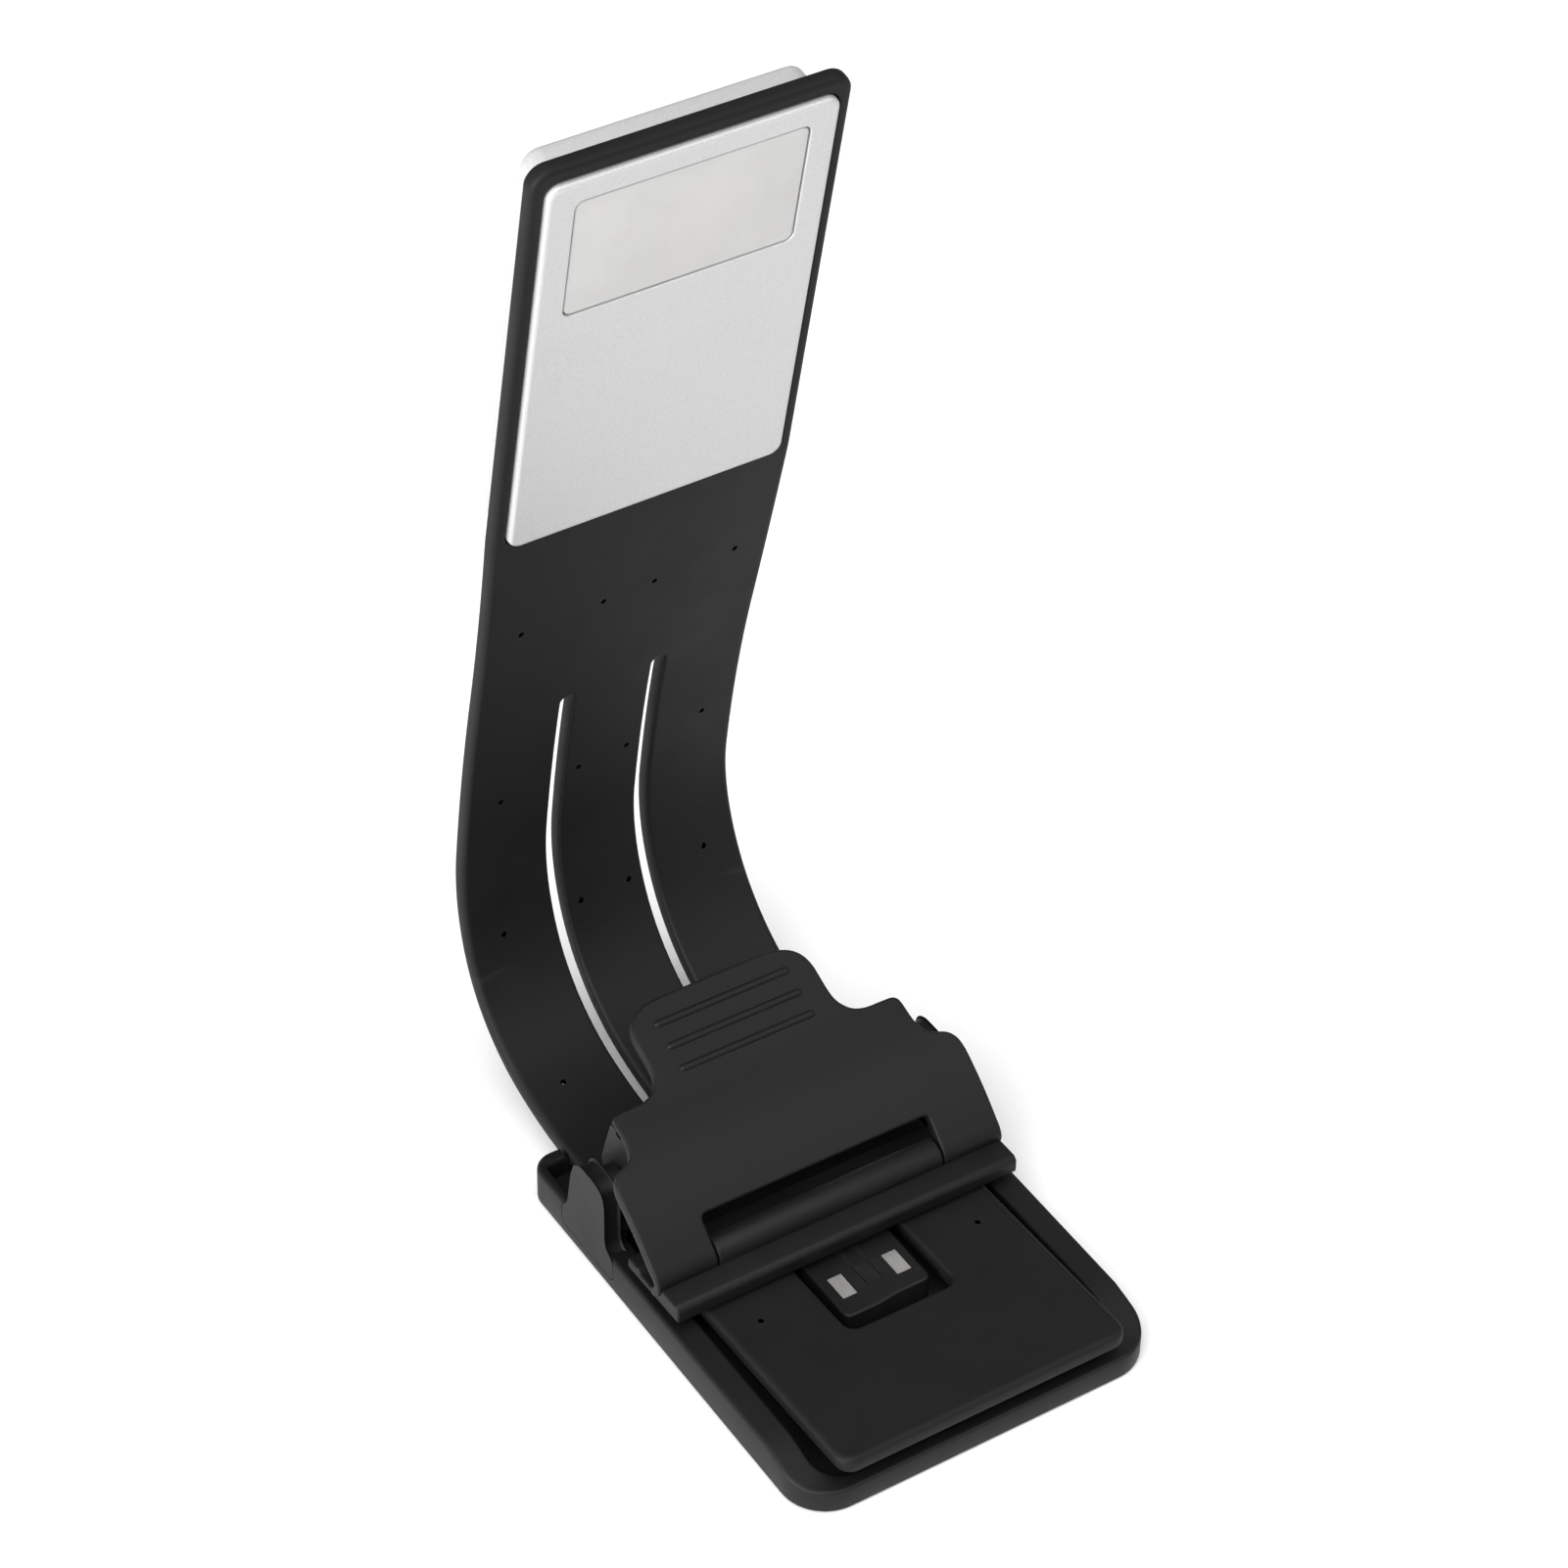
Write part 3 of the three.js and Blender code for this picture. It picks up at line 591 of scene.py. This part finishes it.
def frosted(name):
    """Frosted diffuser over warm phosphor dots."""
    n = Nodes(name)
    place = n.tree.nodes.new("ShaderNodeVectorMath")
    place.operation = "DISTANCE"
    spot = to_frame(on_head(np.array([[2.2, 45.8, 1.7]])))[0]
    place.inputs[1].default_value = spot
    n.link(n.place, place.inputs[0])
    glow = n.span(place.outputs["Value"], 0.0005, 0.0075, 1.0, 0.0)
    milk = n.ramp(n.noise(160, 3, 0.6), (0.3, (0.44, 0.437, 0.431)), (0.7, (0.47, 0.467, 0.461)))
    warm = n.mix(n.span(glow, 0, 1, 0.0, 0.35), milk, (0.50, 0.455, 0.42))
    shine = n.span(n.noise(400, 2), 0.3, 0.7, 0.42, 0.52)
    normal = n.bump(n.noise(6000, 2, 0.6), 0.08, 0.00003)
    return n.finish(warm, shine, normal, Subsurface_Weight=0.12, Subsurface_Scale=0.001)


def brushed(name, colour, rough=0.32, stretch=(1, 30, 30), metallic=1.0):
    """Plated or plain metal with fine drawn lines and small stains."""
    n = Nodes(name)
    lines = n.noise(900, 3, 0.6, stretch)
    stains = n.noise(350, 4, 0.6)
    tone = n.ramp(stains, (0.3, tuple(c * 0.82 for c in colour)), (0.65, colour))
    marked = n.mix(n.span(lines, 0.3, 0.7, 0.0, 0.25), tone, tuple(min(c * 1.12, 1) for c in colour))
    shine = n.span(lines, 0.3, 0.7, rough - 0.06, rough + 0.12)
    return n.finish(marked, shine, n.bump(lines, 0.12, 0.00003), Metallic=metallic)


def plain_plastic(name, colour, rough=0.45):
    n = Nodes(name)
    clouds = n.noise(300, 3, 0.6)
    tone = n.ramp(clouds, (0.3, tuple(c * 0.93 for c in colour)), (0.7, colour))
    shine = n.span(clouds, 0.3, 0.7, rough - 0.05, rough + 0.06)
    return n.finish(tone, shine, n.bump(n.noise(4000, 2), 0.08, 0.00004))


def circuit_board(name):
    """Green solder mask with copper traces showing through."""
    n = Nodes(name)
    traces = n.ramp(n.cells(420, 0.2), (0.36, 0.0), (0.42, 1.0))
    tone = n.mix(n.span(traces, 0, 1, 0.0, 0.6), (0.012, 0.13, 0.055), (0.03, 0.24, 0.1))
    shine = n.span(n.noise(500, 2), 0.3, 0.7, 0.28, 0.4)
    return n.finish(tone, shine, n.bump(traces, 0.2, 0.00004))


BLACK = moulded_plastic("black_plastic_look", (0.0045, 0.0045, 0.0047), 0.5, 0.2, specular=0.2)
SILICONE = moulded_plastic("silicone_look", (0.0052, 0.0052, 0.0054), 0.58, 0.24, "UV", 0.18, 0.8, paint_pit_shade=True)
SILVER = satin_silver("silver_look")
FROSTED = frosted("diffuser_look")
NICKEL = brushed("nickel_look", (0.62, 0.61, 0.59), 0.36, (30, 1, 30))
STEEL = brushed("steel_look", (0.50, 0.51, 0.52), 0.34)
ALUMINIUM = brushed("aluminium_look", (0.70, 0.71, 0.72), 0.42, (30, 1, 1))
WHITE = plain_plastic("white_plastic_look", (0.8, 0.8, 0.79))
LED = plain_plastic("led_look", (0.86, 0.68, 0.2), 0.3)
FOIL = brushed("battery_foil_look", (0.56, 0.58, 0.6), 0.4, (1, 1, 1), 0.85)
BOARD = circuit_board("circuit_board_look")
SWITCH = plain_plastic("switch_look", (0.02, 0.02, 0.021), 0.5)

CARRIED = {
    "dock_bar_left": NICKEL, "dock_bar_right": NICKEL,
    "lever_pin": STEEL, "foot_pin": STEEL, "tail_plate": STEEL,
    "reflector": WHITE, "led_board": BOARD, "control_board": BOARD, "battery_cell": FOIL, "usb_socket": STEEL,
    "tact_switch": SWITCH}
CARRIED.update({f"arm_core_{side}": ALUMINIUM for side in ("left", "centre", "right")})
CARRIED.update({f"head_core_{side}": ALUMINIUM for side in ("left", "centre", "right")})
CARRIED.update({f"led_{i}": LED for i in (1, 2, 3, 4)})
for node_name, look in CARRIED.items():
    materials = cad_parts[node_name].data.materials
    materials.clear()
    materials.append(look)


def finish_piece(piece, body, slot, *nodes):
    if body:
        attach(piece, body)
    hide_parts(*nodes)
    return piece


# ---- strip ---------------------------------------------------------------------------------------
STRIP_EDGE = 0.75
STATION = 0.85


def slot_outline(x):
    """Clockwise outline of one long slot, with round ends."""
    r = SLOT_W / 2
    return np.vstack((
        arc(x, SLOT_S[0] + r, r, 360, 180, 8),
        arc(x, SLOT_S[1] - r, r, 180, 0, 8)))


def clockwise(loop):
    return loop[::-1]


PINHOLES = [(x, s) for s in (153.8, 121.3, 98.0) for x in (-15.8, -3.77, 3.77, 15.8)]
PINHOLES += [(x, 75.8) for x in (-15.8, 15.8)] + [(-16.3, 26.4), (16.3, 26.4)]


def strip_parts():
    outer = round_rect(-HALF, HALF, 0, STRIP_LEN, 2.2, 2.6, 8)
    holes = [(divide(slot_outline(x), 3, STATION), rim_down(0.45, 0, -STRIP_T, low_radius=0.45), True)
             for x in (-SLOT_X, SLOT_X)]
    cutout = clockwise(round_rect(-8.05, 8.05, 18.8, 38.5, 1.8))
    holes.append((divide(cutout, 3, STATION), rim_down(0.4, 0, -STRIP_T, low_radius=0.3), True))
    seat = clockwise(round_rect(-SHELL_X - 0.2, SHELL_X + 0.2, HEAD_S - 0.2, HEAD_S + SHELL_H + 0.2, 2.0))
    seat_rings = rim_down(0.3, 0, -1.1) + [(-1.9, -1.1), (-1.9, -STRIP_T)]
    holes.append((divide(seat, 3, STATION), seat_rings, True))
    for x, s in PINHOLES:
        dot = clockwise(arc(x, s, 0.43, 0, 324, 9))
        holes.append((dot, [(0.0, 0), (-0.04, -0.15), (-0.06, -1.3)], False))
    rings = [(d, h - STRIP_T) for d, h in edge(STRIP_EDGE, STRIP_T, 0.2, 4)]
    return slab(divide(outer, 3, STATION), rings, holes, (3, STATION))


def split_strip(points, faces):
    """The strip's two skins, cut at the seam."""
    bm = bmesh.new()
    verts = [bm.verts.new(p) for p in points]
    for f in faces:
        bm.faces.new([verts[i] for i in f])
    bmesh.ops.bisect_plane(
        bm, geom=bm.verts[:] + bm.edges[:] + bm.faces[:], dist=1e-5,
        plane_co=(0, SEAM_S, 0), plane_no=(0, 1, 0))
    bm.verts.ensure_lookup_table()
    bm.faces.ensure_lookup_table()
    halves = []
    for side in (-1, 1):
        used = [f for f in bm.faces if side * (f.calc_center_median().y - SEAM_S) > 0]
        ids = sorted({v.index for f in used for v in f.verts})
        remap = {old: new for new, old in enumerate(ids)}
        coords = np.array([bm.verts[i].co[:] for i in ids])
        halves.append((coords, [tuple(remap[v.index] for v in f.verts) for f in used]))
    bm.free()
    return halves


lower_half, upper_half = split_strip(*strip_parts())


def mark_pit_shade(obj, points):
    """Marks the insides of the pinholes for painted shade: the material paints them near black, darker than
    the skin.
    """
    layer = obj.data.attributes.new("painted_pit_shade", "FLOAT", "POINT")
    marks = np.zeros(len(points))
    for x, s in PINHOLES:
        near = np.hypot(points[:, 0] - x, points[:, 1] - s) < 0.6
        marks[near & (points[:, 2] < -0.1) & (points[:, 2] > -1.6)] = 1.0
    layer.data.foreach_set("value", marks)


def strip_point(s, h=-STRIP_T / 2):
    return tuple(to_frame(on_strip(np.array([[0.0, s, h]])))[0])


strip_lower = build("strip_lower_skin", [lower_half], SILICONE, on_strip, uv=True, sharp=60)
mark_pit_shade(strip_lower, lower_half[0])
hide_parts("strip_tail", "arm_prong_left", "arm_prong_centre", "arm_prong_right")
strip_point(62)
strip_point(79)
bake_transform(strip_lower)
strip_upper = build("strip_upper_skin", [upper_half], SILICONE, on_strip, uv=True, sharp=60)
mark_pit_shade(strip_upper, upper_half[0])
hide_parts("strip_upper")
strip_point(107)
strip_point(127)
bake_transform(strip_upper)


# ---- tray ----------------------------------------------------------------------------------------
def rim_height(y):
    return np.interp(y, (0, 2.6, 9.5), (LIP_Z, LIP_Z, TRAY_H))


def on_tray(points):
    """Lowers the rim towards the front lip."""
    out = points.copy()
    y, z = out[:, 1], out[:, 2]
    base = 1.2
    high = z > base
    out[high, 2] = base + (z[high] - base) * (rim_height(y[high]) - base) / (TRAY_H - base)
    return out


def tray_rim():
    """The raised rim, open at the back where the strip leaves."""
    x, r, b = TRAY_X, TRAY_FRONT_R, TRAY_BACK_R
    loop = np.vstack((
        [(-REAR_END_X, TRAY_L)],
        arc(-x + b, TRAY_L - b, b, 90, 180, 8),
        arc(-x + r, r, r, 180, 270, 18),
        arc(x - r, r, r, 270, 360, 18),
        arc(x - b, TRAY_L - b, b, 0, 90, 8),
        [(REAR_END_X, TRAY_L), (REAR_END_X, 65.2), (24.6, 65.0), (24.7, 58.4), (RECESS_X + 0.1, 58.2)],
        arc(RECESS_X - 4, 6.2, 4, 0, -90, 8),
        arc(-RECESS_X + 4, 6.2, 4, -90, -180, 8),
        [(-RECESS_X - 0.1, 58.2), (-24.7, 58.4), (-24.6, 65.0), (-REAR_END_X, 65.2)]))
    rings = [
        (0.6, 0.0), (0.45, 0.0), (0.2, 0.06), (0.06, 0.2), (0, 0.45),
        (0, 4.75), (0.06, 5.05), (0.22, 5.3), (0.45, TRAY_H), (0.6, TRAY_H)]
    return slab(divide(loop, 2.5, 2.5), rings)


def tray_floor():
    loop = round_rect(-TRAY_X + 0.6, TRAY_X - 0.6, 0.6, TRAY_L, 5.6, 2.4)
    rings = [(0.5, 0.03), (0.1, 0.2), (0, 0.5), (0, FLOOR_Z - 0.3), (0.3, FLOOR_Z), (0.5, FLOOR_Z)]
    return slab(divide(loop, 4, 4), rings)


EAR_PROFILE = (
    (46.3, 4.6), (46.9, 5.35), (47.9, 5.9), (48.3, 7.2), (48.3, 13.1), (48.8, 14.7), (50.4, 15.3),
    (53.7, 15.3), (55.1, 14.5), (55.9, 12.2), (56.9, 6.4), (57.7, 5.3), (58.3, 4.6), (58.3, 2.0), (46.3, 2.0))


def boss():
    """Docking boss: a wavy front edge, two pockets for the metal bars and moulded hairline ribs."""
    outline = [
        (BOSS_X, 22.9), (BOSS_X, 36.2), (-BOSS_X, 36.2), (-BOSS_X, 22.5),
        (-5.9, 21.9), (-1.6, 21.9), (1.6, 22.3), (5.9, 22.3)]
    loop = soften(outline, 0.8)
    pockets = [
        clockwise(round_rect(x - POCKET_HALF, x + POCKET_HALF, *POCKET_Y, 0.12, steps=2))
        for x in (-POCKET_X, POCKET_X)]
    lines = []
    for x in (-HAIRLINE_X, HAIRLINE_X):
        line = [(x - 0.07, 25.4), (x + 0.07, 25.4), (x + 0.07, 29.0), (x - 0.07, 29.0)]
        lines.append(clockwise(soften(line, 0.04, 2)))
    inner = [(p, [(0.05, 5.85), (0, 5.8), (0, 4.05)], False) for p in pockets]
    inner += [(p, [(0.0, 5.85), (0, 5.7)], False) for p in lines]
    rings = [(0, 2.2), (0, 5.45), (0.08, 5.7), (0.3, 5.85), (0.45, 5.85)]
    return slab(divide(loop, 2, 2), rings, inner)


ear_loop = soften(EAR_PROFILE, 0.7)
ears = []
for x0 in (-TRAY_X - 0.005, TRAY_X - EAR_T + 0.005):
    ears.append((*slab(ear_loop, edge(0.35, EAR_T, 0.1, 3)), side_place(x0)))
bridge = round_rect(-23.8, 23.8, 48.5, 57.3, 0.6)
bridge_rings = [(d, 6.4 + h) for d, h in edge(0.3, 1.35, 0.1, 2)]
feet = []
for x0, x1 in ((-23.9, -22.4), (22.4, 23.9)):
    feet.append((*slab(round_rect(x0, x1, 48.5, 57.3, 0.3), [(0, 2.0), (0, 7.0)]), None))
tray = build(
    "tray_shell",
    [
        (*tray_rim(), on_tray), (*tray_floor(), None), *ears,
        (*slab(bridge, bridge_rings), None), *feet, (*boss(), None)],
    BLACK)
finish_piece(tray, "base", "black_plastic", "base_tray")

# ---- lever ---------------------------------------------------------------------------------------
HALF_PLAN = (
    (26.0, 44.6), (25.7, 46.0), (24.8, 47.0), (23.4, 47.5), (22.4, 47.9), (21.9, 48.8), (LEVER_REAR_X, 50.2),
    (LEVER_REAR_X, 53.1), (21.2, 53.7), (20.6, 53.95), (16.6, 54.0), (14.9, 54.6), (13.8, 56.0),
    (TAB_X, 57.4),
    (TAB_X, 61.6), (13.0, 63.2), (11.8, 64.4), (9.8, 65.1), (7.5, 65.3))


def lever_plate():
    half = [(x, t_at(y)) for x, y in HALF_PLAN]
    notch = t_at(WINDOW_BACK_Y)
    front = [
        (-25.9, 0.0), (-WINDOW_X, 0.0), (-WINDOW_X, notch), (WINDOW_X, notch), (WINDOW_X, 0.0), (25.9, 0.0)]
    corners = front + half + [(-x, t) for x, t in reversed(half)]
    reach = [0.4, 0.4, 0.9, 0.9, 0.4, 0.4] + [1.0] * (2 * len(half))
    loop = soften(corners, reach)
    rings = [(d, h - LEVER_T) for d, h in edge(0.32, LEVER_T, 0.15, 3)]
    points, faces = slab(divide(loop, 3, 0.7), rings, (), (3, 0.7))
    curl = np.clip((t_at(36.5) - points[:, 1]) / 2.0, 0, 1)
    points[:, 2] *= 1 - 0.22 * curl
    return points, faces, on_lever


def rib(y):
    loop = np.vstack((arc(9.6, 0, 0.52, -90, 90, 8), arc(-9.6, 0, 0.52, 90, 270, 8))) + np.array((0, t_at(y)))
    rings = [(0, -0.3), (0, 0.02), (0.1, 0.2), (0.26, 0.31), (0.4, 0.34)]
    return (*slab(divide(loop, 2, 2), rings), on_lever)


WALL_PROFILE = (
    (46.9, 18.2), (50.3, 19.6), (53.6, 20.6), (56.0, 13.0), (54.6, 10.2), (52.3, 9.1), (50.2, 9.9),
    (49.2, 11.8), (48.4, 15.0))
walls = []
for x0 in (-LEVER_REAR_X, LEVER_REAR_X - 1.6):
    walls.append((*slab(soften(WALL_PROFILE, 0.5), edge(0.3, 1.6, 0.1, 3)), side_place(x0)))
hubs = [(*lathe_x(rod_profile(a, b, 2.7, 0.35), *PIVOT), None) for a, b in ((-23.2, -19.6), (19.6, 23.2))]
lever = build("lever_shell", [lever_plate(), *[rib(y) for y in (55.9, 59.0, 62.1)], *walls, *hubs], BLACK)
finish_piece(lever, "clip_lever", "black_plastic", "clip_lever")

# ---- jaw foot ------------------------------------------------------------------------------------
FOOT_PROFILE = (
    (31.2, 7.0), (43.3, 6.55), (43.3, 8.2), (41.0, 8.2), (40.4, 7.7), (36.2, 7.7), (35.2, 9.45),
    (31.8, 9.5), (31.2, 8.9))
foot_loop = soften(FOOT_PROFILE, (0.3, 0.3, 0.3, 0.3, 0.3, 0.5, 0.3, 0.35, 0.35))
foot_bar = (*slab(foot_loop, edge(0.3, 2 * FOOT_X, 0.1, 3)), side_place(-FOOT_X))
barrel = (*lathe_x(rod_profile(-16.85, 16.85, KNUCKLE_R, 0.35), *HINGE), None)
foot = build("jaw_foot_shell", [foot_bar, barrel], BLACK)
finish_piece(foot, "jaw_foot", "black_plastic", "jaw_foot")


# ---- head ----------------------------------------------------------------------------------------
def front_shell():
    loop = round_rect(-SHELL_X, SHELL_X, 0, SHELL_H, 1.8, steps=10)
    window = clockwise(round_rect(-LIGHT[0], LIGHT[0], LIGHT[1], LIGHT[2], 1.2, steps=6))
    t = np.linspace(0, math.pi / 2, 6)
    rings = [(0.6, 0.1), (0.05, 0.1), (0, 0.2), (0, 1.0)]
    rings += [(0.6 * (1 - math.cos(a)), 1.7 - 0.6 * (1 - math.sin(a))) for a in t[1:]]
    rings += [(0.8, 1.7), (1.1, 1.7)]
    inner = [(window, rim_down(0.16, 1.7, 0.1, 0.12, 3), True)]
    return (*slab(divide(loop, 4, 4), rings, inner), on_head)


def skirt():
    outer = round_rect(-17.5, 17.5, 2.0, 56.4, 1.4)
    opening = clockwise(round_rect(-16.7, 16.7, 2.8, 55.6, 0.8))
    return (*slab(outer, [(0, -1.6), (0, 0.3)], [(opening, [(0, 0.3), (0, -1.6)], True)]), on_head)


def rear_shell():
    loop = round_rect(-REAR_X, REAR_X, -1.2, 58.0, 2.4, steps=10)
    t = np.linspace(0, math.pi / 2, 6)
    rings = [(0.9, 1.55), (0.02, 1.55), (0, 1.7), (0, 5.2)]
    rings += [(1.0 * (1 - math.cos(a)), 6.2 - 1.0 * (1 - math.sin(a))) for a in t[1:]]
    rings += [(1.2, 6.2), (1.5, 6.2)]
    button = clockwise(arc(8, 32.7, 3.15, 0, 350, 35))
    inner = [(button, rim_down(0.2, 6.2, 5.2, 0.15, 3), True)]
    shape = Shape()
    made = [shape.ring(inset(loop, d), h) for d, h in rings]
    for low, high in zip(made, made[1:]):
        shape.wall(low, high)
    down = [shape.ring(inset(inner[0][0], d), h) for d, h in inner[0][1]]
    for high, low in zip(down, down[1:]):
        shape.wall(low, high)
    shape.fill([made[-1], down[0]], 6.2)
    inside_rings = [shape.ring(inset(loop, d), h) for d, h in ((1.0, 1.55), (1.05, 5.2))]
    for high, low in zip(inside_rings, inside_rings[1:]):
        shape.wall(high[::-1], low[::-1])
    shape.fill([inside_rings[-1], down[-1]], 5.2, flip=True)
    shape.fill([made[0], inside_rings[0]], 1.55, flip=True)
    return np.array(shape.points, float), shape.faces, on_back


front = build("front_shell", [front_shell(), skirt()], SILVER)
finish_piece(front, "head", "silver_plastic", "head_front_shell")
rear = build("rear_shell", [rear_shell()], SILVER)
finish_piece(rear, "head", "silver_plastic", "head_rear_shell")

pane = round_rect(-LIGHT[0] + 0.18, LIGHT[0] - 0.18, LIGHT[1] + 0.18, LIGHT[2] - 0.18, 1.05, steps=6)
pane_rings = [(0, -0.4), (0, 1.42), (0.05, 1.5), (0.16, 1.56), (0.3, 1.58)]
flange = round_rect(-16.4, 16.4, 36.6, LIGHT[2] - 0.2, 1.0)
window = build(
    "light_window_pane",
    [
        (*slab(divide(pane, 4, 4), pane_rings), on_head),
        (*slab(flange, [(0, -0.38), (0, 0.08)]), on_head)],
    FROSTED)
finish_piece(window, "head", "diffuser", "light_window")

cap_profile = [(0.0, 4.9), (0.0, 6.2), (0.05, 6.4), (0.2, 6.55), (0.45, 6.6), (0.9, 6.58), (1.6, 6.5)]
cap = slab(arc(8, 32.7, 2.88, 0, 350, 35), cap_profile)
flange_disc = slab(arc(8, 32.7, 3.7, 0, 350, 35), [(0, 4.76), (0, 5.04)])
button_cap = build("button_cap", [(*cap, on_back), (*flange_disc, on_back)], BLACK)
finish_piece(button_cap, "power_button", "black_plastic", "power_button")


# ---- torsion spring ------------------------------------------------------------------------------
def spring_line():
    turns, pitch, r = 5, 1.05, 1.75
    span = turns * pitch
    low, high = math.radians(-97), math.radians(140) - 2 * math.pi * turns
    line = [(-span / 2, PIVOT[0] + 4.6, 8.55), (-span / 2, PIVOT[0] + 2.4, 9.1)]
    steps = turns * 24
    for i in range(steps + 1):
        t = i / steps
        a = low + (high - low) * t
        line.append((-span / 2 + span * t, PIVOT[0] + r * math.cos(a), PIVOT[1] + r * math.sin(a)))
    end = line[-1]
    line += [(span / 2, end[1] + d * 0.66, end[2] + d * 0.75) for d in (3, 6, 8.4)]
    return np.array(line)


curve = bpy.data.curves.new("spring_line", "CURVE")
curve.dimensions = "3D"
curve.bevel_depth = 0.4 * MM
curve.bevel_resolution = 3
curve.use_fill_caps = True
spline = curve.splines.new("POLY")
route = to_frame(spring_line())
spline.points.add(len(route) - 1)
for point, co in zip(spline.points, route):
    point.co = (*co, 1)
carrier = bpy.data.objects.new("spring_line", curve)
bpy.context.scene.collection.objects.link(carrier)
bpy.context.view_layer.update()
spring_mesh = bpy.data.meshes.new_from_object(carrier.evaluated_get(bpy.context.evaluated_depsgraph_get()))
bpy.data.objects.remove(carrier)
spring_mesh.name = "torsion_spring"
spring_mesh.materials.clear()
spring_mesh.materials.append(STEEL)
spring_mesh.polygons.foreach_set("use_smooth", [True] * len(spring_mesh.polygons))
spring = bpy.data.objects.new("torsion_spring", spring_mesh)
bpy.context.scene.collection.objects.link(spring)
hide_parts("clip_spring")
tuple(to_frame([(0, PIVOT[0], 9.6)])[0])
tuple(to_frame([(0, PIVOT[0], 15.5)])[0])
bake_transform(spring)

# ---- floor, light and camera ---------------------------------------------------------------------
floor_mesh = bpy.data.meshes.new("floor")
floor_bm = bmesh.new()
bmesh.ops.create_grid(floor_bm, x_segments=8, y_segments=8, size=3.0)
floor_bm.to_mesh(floor_mesh)
floor_bm.free()
floor = bpy.data.objects.new("floor", floor_mesh)
floor.location = (0, 0, -0.0002)
bpy.context.scene.collection.objects.link(floor)
floor_look = Nodes("floor_look")
floor_mesh.materials.append(floor_look.finish(
    floor_look.ramp(floor_look.noise(4, 2), (0.3, (0.86, 0.86, 0.86)), (0.7, (0.88, 0.88, 0.88))),
    floor_look.span(floor_look.noise(8, 2), 0.3, 0.7, 0.8, 0.9), None, Specular_IOR_Level=0.1))


def softbox(name, position, target, size, power, colour=(1, 1, 1)):
    light = bpy.data.lights.new(name, "AREA")
    light.shape = "RECTANGLE"
    light.size, light.size_y = size
    light.energy = power
    light.color = colour
    lamp = bpy.data.objects.new(name, light)
    lamp.location = position
    lamp.rotation_euler = (Vector(target) - Vector(position)).to_track_quat("-Z", "Y").to_euler()
    bpy.context.scene.collection.objects.link(lamp)
    return lamp


softbox("key", (-0.9, -0.55, 1.1), (0, 0, 0.05), (1.0, 1.0), 17)
softbox("top", (0.1, -0.3, 1.5), (0, 0, 0), (1.6, 1.6), 17)
softbox("fill", (0.9, -0.9, 0.8), (0, 0, 0.05), (0.9, 0.9), 4)
softbox("side", (-1.3, -0.15, 0.3), (0, 0, 0.05), (0.9, 0.5), 20)

world = bpy.data.worlds.new("studio")
bpy.context.scene.world = world
world.use_nodes = True
world.node_tree.nodes["Background"].inputs["Color"].default_value = (1, 1, 1, 1)
world.node_tree.nodes["Background"].inputs["Strength"].default_value = 0.32

AZIMUTH, ELEVATION, ROLL = (math.radians(a) for a in (-33.25, 40.35, 1.17))
forward = Vector((
    -math.sin(AZIMUTH) * math.cos(ELEVATION), math.cos(AZIMUTH) * math.cos(ELEVATION), -math.sin(ELEVATION)))
level = Vector((math.cos(AZIMUTH), math.sin(AZIMUTH), 0))
upright = level.cross(forward)
right = level * math.cos(ROLL) + upright * math.sin(ROLL)
up = upright * math.cos(ROLL) - level * math.sin(ROLL)
camera_data = bpy.data.cameras.new("camera")
camera_data.lens = 108.13
camera_data.sensor_width = 36
camera_data.clip_start = 0.01
camera = bpy.data.objects.new("camera", camera_data)
turn = Matrix((right, up, -forward)).transposed().to_4x4()
camera.matrix_world = Matrix.Translation((-0.23595, -0.35978, 0.4366)) @ turn
bpy.context.scene.collection.objects.link(camera)
bpy.context.scene.camera = camera

bpy.context.scene.view_settings.view_transform = "Standard"
